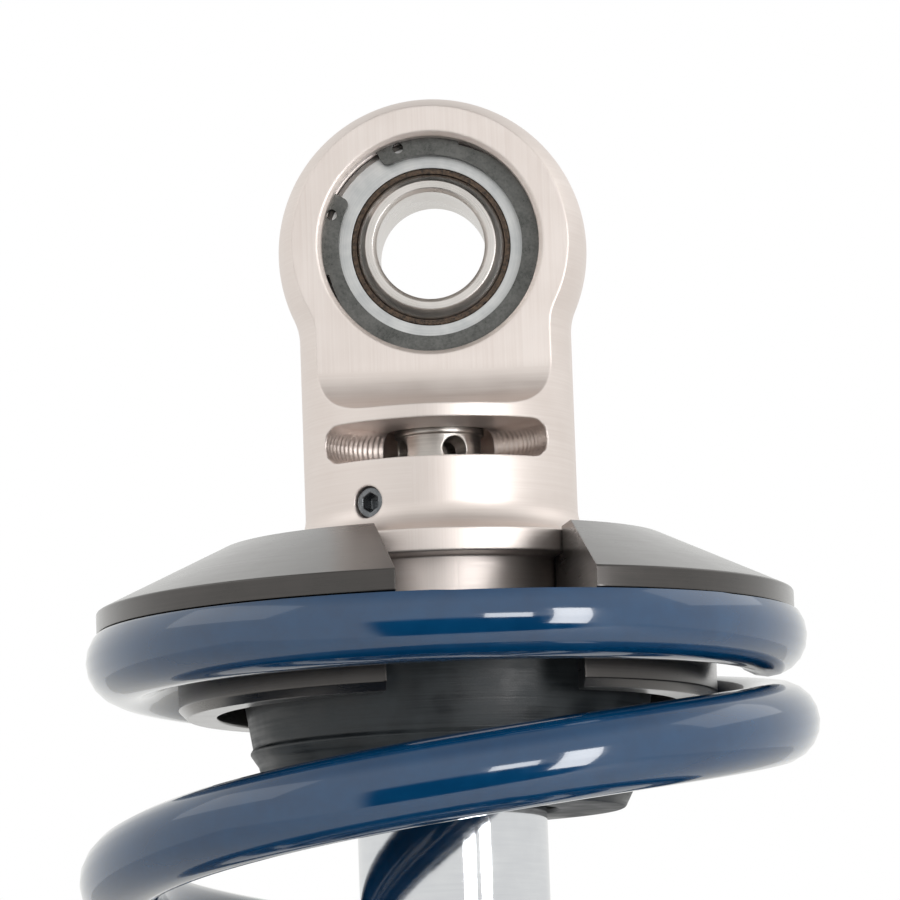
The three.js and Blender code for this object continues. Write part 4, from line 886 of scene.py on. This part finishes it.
@dataclass(frozen=True)
class Spring:
    """Coil spring with closed ends ground flat, whose pitch opens along a ramp."""

    wire: float = 9.525
    end_radius: float = 37.5
    body_radius: float = 38.9
    pitch: float = 34.0
    closed_pitch: float = 1.3
    tip_depth: float = 2.55
    closed_turns: float = 0.5
    ramp_turns: float = 0.72
    travel: float = 47.0
    steps_per_turn: int = 120
    ground_edge: float = 0.35

    def depth(self, turns: float) -> float:
        """Depth of the wire's centre below the ground end, some turns from its tip."""
        ramp = min(max((turns - self.closed_turns) / self.ramp_turns, 0), 1)
        opened = max(turns - self.closed_turns - self.ramp_turns, 0)
        gained = self.ramp_turns * (ramp**2 - ramp**3 / 3) + opened
        return self.tip_depth + self.closed_pitch * turns + (self.pitch - self.closed_pitch) * gained

    def turns(self, length: float) -> float:
        """Number of turns that make the spring a length long."""
        low, high = self.closed_turns, length / self.closed_pitch
        halvings = 60
        for _ in range(halvings):
            half = (low + high) / 2
            low, high = (half, high) if self.depth(half) < length / 2 else (low, half)
        return 2 * low

    def build(self, shop: Paintshop) -> None:
        """Makes the spring."""
        bottom, top = span("spring")
        length = top - bottom
        total = self.turns(length)
        steps = math.ceil(total * self.steps_per_turn)
        curve = bpy.data.curves.new("spring", "CURVE")
        curve.dimensions = "3D"
        curve.bevel_depth = self.wire / 2 * MM
        curve.bevel_resolution = 8
        curve.use_fill_caps = True
        line = curve.splines.new("POLY")
        line.points.add(steps)
        for i, point in enumerate(line.points):
            turns = total * i / steps
            from_end = min(turns, total - turns)
            depth = self.depth(from_end)
            height = top - depth if turns < total / 2 else bottom + depth
            opened = smoothstep((from_end - self.closed_turns) / self.ramp_turns)
            radius = self.end_radius + (self.body_radius - self.end_radius) * opened
            point.co = (*radial(-360 * turns, radius, height), 1)
        spring = bpy.data.objects.new("coil_spring", curve)
        bpy.context.collection.objects.link(spring)
        activate(spring)
        bpy.ops.object.convert(target="MESH")
        for height, way in ((top, 1), (bottom, -1)):
            with editing():
                bpy.ops.mesh.bisect(plane_co=(0, 0, height * MM), plane_no=(0, 0, way), use_fill=True,
                                    clear_outer=True)
        with editing():
            tidy_shell()
        soften(spring, self.ground_edge, sharpest=40)
        shop.dress(spring, BLUE, "spring_perch", "spring")
        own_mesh(spring)


@dataclass(frozen=True)
class LowerSeat:
    """Lower spring seat, its slippery washer and the threaded preload collar below them."""

    bore: float = 25.6
    seat_radius: float = 41.0
    seat_height: float = 3.5
    seat_edge: float = 0.35
    pilot_radius: float = 31.55
    pilot_wall: float = 4.0
    pilot_chamfer: float = 1.0
    washer_radius: float = 36.0
    washer_edge: float = 0.2
    collar_radius: float = 38.0
    collar_chamfer: float = 1.0
    collar_edge: float = 0.25
    collar_cut_edge: float = 0.3
    groove_depth: float = 1.5
    groove_height: float = 3.0
    notches: int = 6
    notch_width: float = 9.0
    notch_depth: float = 4.0
    screw: SetScrew = SetScrew(5.0, 2.5, 30.0)
    screw_recess: float = 0.5

    def build(self, shop: Paintshop) -> None:
        """Makes the seat, washer, collar and the collar's lock screw."""
        low, high = span("lower_spring_seat")
        top, inner = low + self.seat_height, self.pilot_radius - self.pilot_wall
        seat = [(self.bore, low), (self.seat_radius, low), (self.seat_radius, top),
                (self.pilot_radius, top), (self.pilot_radius, high - self.pilot_chamfer),
                (self.pilot_radius - self.pilot_chamfer, high), (inner, high), (inner, top),
                (self.bore, top)]
        shop.turn("lower_seat", seat, GUNMETAL, "spring_perch", "lower_spring_seat", self.seat_edge, 160)
        low, high = span("thrust_washer")
        washer = stepped(self.bore, low, self.washer_radius, high)
        shop.turn("slip_washer", washer, NYLON, "spring_perch", "thrust_washer", self.washer_edge, 160)
        self._collar(shop)

    def _collar(self, shop: Paintshop) -> None:
        low, high = span("preload_collar")
        centre, half, chamfer = (low + high) / 2, self.groove_height / 2, self.collar_chamfer
        outer, groove = self.collar_radius, self.collar_radius - self.groove_depth
        collar = turned("collar", eased([
            (self.bore, low), (outer - chamfer, low), (outer, low + chamfer), (outer, centre - half),
            (groove, centre - half), (groove, centre + half), (outer, centre + half),
            (outer, high - chamfer), (outer - chamfer, high), (self.bore, high)],
            self.collar_edge), segments=144)
        for i in range(self.notches):
            angle = 360 * i / self.notches
            cut(collar, slab("notch", radial(angle, outer - self.notch_depth, low - PAST),
                             radial(angle, self.notch_depth + 2 * PAST),
                             radial(angle + 90, self.notch_width / 2), high - low + 2 * PAST))
        axis = Vector((0, 0, centre)) * MM
        cut(collar, self.screw.hole(axis, self.bore - PAST, outer + PAST))
        soften(collar, self.collar_cut_edge)
        shop.dress(collar, GUNMETAL, "collar", "preload_collar")
        screw = self.screw.build("collar_screw", axis, self.bore, groove - self.screw_recess)
        shop.dress(screw, BLACKENED, "collar", "collar_lock_screw")


# --- damper
@dataclass(frozen=True)
class BumpRubber:
    """Bump stop on the shaft, turned from a rubber blank, with a moulding bead."""

    bore: float = 11.4125
    radius: float = 24.3
    skirt: float = 4.0
    waist: float = 23.0
    bead_radius: float = 23.4
    bead_depth: float = 12.2
    bead_height: float = 2.0
    end_radius: float = 20.3
    end_chamfer: float = 2.0
    mouth_radius: float = 12.3
    mouth_length: float = 3.0
    edge: float = 0.5

    def build(self, shop: Paintshop) -> None:
        """Makes the bump rubber."""
        low, high = span("bump_rubber")
        bead, lip = high - self.bead_depth, self.bead_height / 4
        profile = [(self.bore, high), (self.radius, high), (self.radius, high - self.skirt),
                   (self.waist, bead), (self.bead_radius, bead - lip),
                   (self.bead_radius - 2 * lip, bead - self.bead_height),
                   (self.end_radius + self.end_chamfer / 2, low + self.end_chamfer),
                   (self.end_radius, low), (self.mouth_radius, low),
                   (self.mouth_radius, low + self.mouth_length),
                   (self.bore, low + 2 * self.mouth_length)]
        rubber = turned("bump_stop", eased(profile, self.edge, steps=4), segments=160)
        smooth(rubber, angle=50)
        shop.dress(rubber, RUBBER, "rod", "bump_rubber")


@dataclass(frozen=True)
class Damper:
    """Damper body with its thread, the seal head's visible pieces and the chromed shaft."""

    edge: float = 0.3
    shaft_radius: float = 11.1125
    shaft_bore: float = 3.3
    stud_radius: float = 7.9
    stud_length: float = 17.5
    tenon_radius: float = 6.3
    body_radius: float = 25.4
    body_bore: float = 23.0
    thread_pitch: float = 3.0
    thread_turns: int = 24
    thread_depth: float = 0.8
    thread_overlap: float = 0.05
    relief: float = 0.5
    chamfer: float = 0.8
    head_gap: float = 0.4
    head_edge: float = 0.25
    head_shoulder: float = 2.8
    boss_radius: float = 19.0
    wiper_wall: float = 3.9
    wiper_lip: float = 1.2
    clip_radius: float = 24.0
    clip_width: float = 3.5
    clip_gap: float = 60.0
    clip_edge: float = 0.2
    clip_cut_edge: float = 0.15
    groove_depth: float = 4.8
    groove_height: float = 1.8

    def build(self, shop: Paintshop) -> None:
        """Makes the shaft, the body and what shows at the body's open end."""
        self._shaft(shop)
        self._body(shop)
        self._head(shop)
        self._clip(shop)

    def _shaft(self, shop: Paintshop) -> None:
        low, high = span("shaft")
        foot, shoulder = span("top_out_washer")[1] + CLEARANCE, high - self.stud_length
        shaft = stepped(self.shaft_bore, high, self.stud_radius, shoulder, self.shaft_radius, foot,
                        self.tenon_radius, low)
        shop.turn("piston_shaft", shaft, CHROME, "rod", "shaft", self.edge, 128)

    def _body(self, shop: Paintshop) -> None:
        low, high = span("damper_body")
        plain, root = self.body_radius - self.relief, self.body_radius - self.thread_depth
        groove, seat = self.clip_radius + CLEARANCE, high - self.groove_depth
        start = low + self.chamfer
        end = start + self.thread_turns * self.thread_pitch
        tube = [(self.body_bore, low), (root, low), (root, end), (plain, end + self.relief),
                (plain, high - self.chamfer), (plain - self.chamfer, high), (self.body_bore, high),
                (self.body_bore, seat + self.groove_height), (groove, seat + self.groove_height),
                (groove, seat), (self.body_bore, seat)]
        shop.turn("body_tube", tube, CLEAR, "damper", "damper_body", self.edge, 128)
        shop.dress(self._thread(start), CLEAR, "damper", "damper_body")

    def _thread(self, start: float) -> Piece:
        """One ridge wound up from the body's foot to its relief, with a flat crest and root."""
        pitch, crest = self.thread_pitch, self.body_radius
        root = crest - self.thread_depth - self.thread_overlap
        ridge = [(root, 0), (root, 0.06), (crest, 0.44), (crest, 0.56), (root, 0.94), (root, 1)]
        points = [Vector((r, 0, start + share * pitch)) * MM for r, share in ridge]
        thread = outline("body_thread", points)
        apply_modifier(thread, "SCREW", axis="Z", angle=2 * math.pi, screw_offset=pitch * MM,
                       iterations=self.thread_turns - 1, steps=96, render_steps=96,
                       use_merge_vertices=True)
        with editing():
            bpy.ops.mesh.fill_holes(sides=0)
            tidy_shell()
        smooth(thread)
        return thread

    def _head(self, shop: Paintshop) -> None:
        low, high = span("seal_head")
        lip_low, lip_high = span("wiper_seal")
        shaft, wall = self.shaft_radius + CLEARANCE, self.shaft_radius + self.wiper_wall
        inner, outer = wall + CLEARANCE, self.body_bore - CLEARANCE
        head = stepped(self.shaft_radius + self.head_gap, low, outer, high - self.head_shoulder,
                       self.boss_radius, high, inner, lip_low - CLEARANCE)
        shop.turn("head", head, CLEAR, "damper", "seal_head", self.head_edge, 128)
        wiper = [(shaft, lip_low), (wall, lip_low), (wall, lip_high - self.wiper_lip),
                 (self.shaft_radius + self.wiper_lip + CLEARANCE, lip_high), (shaft, lip_high)]
        shop.turn("wiper", wiper, RUBBER, "damper", "wiper_seal", self.head_edge, 128)

    def _clip(self, shop: Paintshop) -> None:
        """The head's retaining ring, open on one side."""
        low, high = span("seal_head_retaining_ring")
        inside, outside = self.clip_radius - self.clip_width, self.clip_radius
        profile = eased(stepped(inside, low, outside, high), self.clip_edge)
        ring = turned("head_clip", profile, segments=128)
        cut(ring, slab("clip_gap", Vector((0, 0, low - PAST)) * MM,
                       radial(self.clip_gap, outside + PAST),
                       radial(self.clip_gap + 90, self.clip_width), high - low + 2 * PAST))
        soften(ring, self.clip_cut_edge)
        shop.dress(ring, PHOSPHATE, "damper", "seal_head_retaining_ring")


@dataclass(frozen=True)
class LowerCap:
    """Lower eye, screwed into the body, with the gas valve in its shoulder."""

    eye: Eye = Eye()
    edge: float = 0.3
    cut_edge: float = 0.22
    body_radius: float = 25.4
    spigot_radius: float = 22.7
    spigot_length: float = 7.8
    shoulder_height: float = 9.0
    flare_radius: float = 6.0
    chamfer: float = 0.8
    valve_radius: float = 3.9
    valve_depth: float = 11.0
    valve_seat: float = 2.6
    valve_angle: float = 180.0
    valve_edge: float = 0.3
    cap_radius: float = 3.7
    cap_length: float = 6.0
    cap_edge: float = 0.25
    flutes: int = 20
    flute_radius: float = 0.28
    flute_offset: float = 0.12
    flute_stop: float = 0.6

    def build(self, shop: Paintshop) -> None:
        """Makes the lower eye cap, the gas valve and its cap."""
        centre = middle("lower_bearing_race")
        high = span("lower_eye_cap")[1]
        shoulder = high - self.spigot_length
        bottom = shoulder - self.shoulder_height
        neck, radius = self.eye.neck_radius, self.body_radius
        flare = arc(neck + self.flare_radius, bottom - self.flare_radius, self.flare_radius, 180, 90, 20)
        rims = eased([(neck, self.eye.flat_length), *flare, (radius - self.chamfer, bottom),
                      (radius, bottom + self.chamfer), (radius, shoulder),
                      (self.spigot_radius, shoulder), (self.spigot_radius, high), (0, high),
                      (0, 0)], self.edge)
        ball = [(r, -z) for r, z in self.eye.profile()]
        slack = 0.01
        neck_end = bottom - self.flare_radius - slack
        profile = [*ball, *[p for p in rims if p[1] > neck_end], (0, high)]
        blank = turned("lower_eye", profile, centre, segments=160)
        self.eye.mill(blank, centre, -1)
        axis = Vector((0, 0, (shoulder + bottom) / 2)) * MM
        cut(blank, spoke("valve_hole", self.valve_radius + CLEARANCE, self.valve_angle,
                         radius - self.valve_depth, radius + 2 * PAST, axis, 64))
        soften(blank, self.cut_edge)
        shop.dress(blank, SATIN, "damper", "lower_eye_cap")
        self._valve(shop, axis)

    def _valve(self, shop: Paintshop, axis: Vector) -> None:
        inside, face = self.body_radius - self.valve_depth + self.valve_seat, self.body_radius
        valve = spoke("valve", self.valve_radius, self.valve_angle, inside, face, axis, 64)
        soften(valve, self.valve_edge)
        shop.dress(valve, STEEL_BARREL, "damper", "gas_valve")
        start = axis + radial(self.valve_angle, face + CLEARANCE)
        end = axis + radial(self.valve_angle, face + CLEARANCE + self.cap_length)
        cap = rod_along("valve_cap", self.cap_radius, start, end, 4 * self.flutes)
        way = (end - start).normalized()
        for i in range(self.flutes):
            around = Matrix.Rotation(2 * math.pi * i / self.flutes, 3, way)
            offset = around @ Vector((0, 0, (self.cap_radius + self.flute_offset) * MM))
            cut(cap, rod_along("flute", self.flute_radius, start + offset + way * MM,
                               end + offset - way * self.flute_stop * MM, 12))
        soften(cap, self.cap_edge)
        shop.dress(cap, BLACKENED, "damper", "gas_valve_cap")


# --- studio
@dataclass(frozen=True)
class Softbox:
    """A soft area lamp, aimed at the upper seat.

    Way is in degrees from the camera's side towards its right and rise in degrees above the seat.
    Distance and size are in metres and power in watts.
    """

    name: str
    way: float
    rise: float
    away: float
    width: float
    height: float
    power: float
    seat_height: float = 0.22

    def build(self) -> None:
        """Adds the lamp."""
        light = bpy.data.lights.new(self.name, "AREA")
        light.shape = "RECTANGLE"
        light.size = self.width
        light.size_y = self.height
        light.energy = self.power
        lamp = bpy.data.objects.new(self.name, light)
        target = Vector((0, 0, self.seat_height))
        across, up = polar(1, self.rise)
        lamp.location = target + (radial(FRONT + self.way, across / MM) + Vector((0, 0, up))) * self.away
        lamp.rotation_euler = (target - lamp.location).to_track_quat("-Z", "Y").to_euler()
        bpy.context.collection.objects.link(lamp)


@dataclass(frozen=True)
class Studio:
    """Camera, lamps, pale floor and the room that shows in glossy surfaces."""

    lens: float = 241.56
    sensor: float = 36.0
    distance: float = 0.705
    turn: float = 1.983
    camera_height: float = 0.1539
    target_height: float = 0.2465
    target_side: float = 0.00124
    roll: float = -2.018
    floor_size: float = 1.2
    floor_shift: float = 0.35
    floor_gap: float = 0.0002
    wall: str = "#F0F0EE"
    ceiling: str = "#B0AFAD"
    ceiling_start: float = 0.6
    ceiling_end: float = 0.97
    dark: str = "#15171A"
    dark_left: float = -22.0
    dark_right: float = 50.0
    dark_top: float = -5.0
    blur: float = 4.0
    lamps: tuple[Softbox, ...] = (
        Softbox("strip_right", 41.0, -4.0, 0.55, 0.12, 0.36, 1.15),
        Softbox("strip_middle", 21.0, -1.0, 0.55, 0.14, 0.1, 0.3),
        Softbox("side_left", -80.0, 35.0, 1.2, 0.9, 0.5, 0.7),
        Softbox("side_right", 110.0, 35.0, 1.2, 0.9, 0.5, 0.7),
    )

    def camera(self) -> None:
        """Adds the camera, below the eye and looking slightly up."""
        turn = math.radians(self.turn)
        side = Vector((math.cos(turn), math.sin(turn), 0))
        place = Vector((math.sin(turn), -math.cos(turn), 0)) * self.distance
        place.z = self.camera_height
        target = side * self.target_side + Vector((0, 0, self.target_height))
        data = bpy.data.cameras.new("camera")
        data.lens = self.lens
        data.sensor_width = self.sensor
        camera = bpy.data.objects.new("camera", data)
        camera.location = place
        aim = (target - place).to_track_quat("-Z", "Y").to_matrix()
        camera.rotation_euler = (aim @ Matrix.Rotation(math.radians(self.roll), 3, "Z")).to_euler()
        bpy.context.collection.objects.link(camera)
        bpy.context.scene.camera = camera

    def floor(self, foot: float, shop: Paintshop) -> None:
        """Adds the plain floor just under the strut, whose foot is at a height in metres."""
        bpy.ops.object.select_all(action="DESELECT")
        bpy.ops.mesh.primitive_plane_add(size=self.floor_size, location=(0, 0, 0))
        floor = bpy.context.object
        floor.name = "floor"
        floor.data.transform(Matrix.Translation((0, self.floor_shift, foot - self.floor_gap)))
        floor.data.materials.append(shop.material(FLOOR))
        floor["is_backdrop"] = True

    def world(self) -> None:
        """White for the camera; in reflections, pale walls, a dim ceiling and a dark opening in front."""
        world = bpy.data.worlds.new("studio")
        bpy.context.scene.world = world
        world.use_nodes = True
        tree = world.node_tree
        tree.nodes.clear()
        way = add_node(tree, "TexCoord").outputs["Generated"]
        across, ahead, up = add_node(tree, "SeparateXYZ", {0: way}).outputs
        ahead = add_node(tree, "Math", {0: ahead, 1: -1.0}, operation="MULTIPLY")
        turn = add_node(tree, "Math", {0: across, 1: ahead}, operation="ARCTAN2")
        left, right = math.radians(self.dark_left), math.radians(self.dark_right)
        blur, top = math.radians(self.blur), math.sin(math.radians(self.dark_top))
        past_left, before_right, below_top, overhead = [
            add_node(tree, "MapRange", {"Value": value, "From Min": low, "From Max": high,
                                        "To Min": 1.0 - rises, "To Max": rises},
                     interpolation_type="SMOOTHSTEP")
            for value, low, high, rises in ((turn, left - blur, left + blur, 1.0),
                                            (turn, right - blur, right + blur, 0.0),
                                            (up, top - blur, top + blur, 0.0),
                                            (up, self.ceiling_start, self.ceiling_end, 1.0))]
        sides = add_node(tree, "Math", {0: past_left, 1: before_right}, operation="MULTIPLY")
        opening = add_node(tree, "Math", {0: sides, 1: below_top}, operation="MULTIPLY")
        camera = add_node(tree, "LightPath").outputs["Is Camera Ray"]
        light = linear(self.wall)
        for factor, colour in ((overhead, linear(self.ceiling)), (opening, linear(self.dark)),
                               (camera, linear("#FFFFFF"))):
            light = add_node(tree, "Mix", {0: factor, 6: light, 7: colour}, data_type="RGBA").outputs[2]
        seen = add_node(tree, "Background", {"Color": light, "Strength": 1.0})
        add_node(tree, "OutputWorld", {"Surface": seen})


# --- main
def main() -> None:
    """Builds the scene round the frame."""
    logging.basicConfig(level=logging.INFO, format="%(name)s: %(message)s")
    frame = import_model()
    cad_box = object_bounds()
    studio = Studio()
    studio.camera()
    shop = Paintshop(middle("upper_bearing_race").z - middle("lower_bearing_race").z)
    shop.dress_frame(frame)
    UpperEyelet().build(shop)
    for end, body in (("upper", "rod"), ("lower", "damper")):
        Bearing().build(shop, end, body)
    for piece in (UpperSeat(), Spring(), LowerSeat(), BumpRubber(), Damper(), LowerCap()):
        piece.build(shop)
    studio.floor(cad_box[0][2], shop)
    for lamp in studio.lamps:
        lamp.build()
    studio.world()
    bpy.context.scene.view_settings.view_transform = "Standard"


if __name__ == "__main__":
    main()
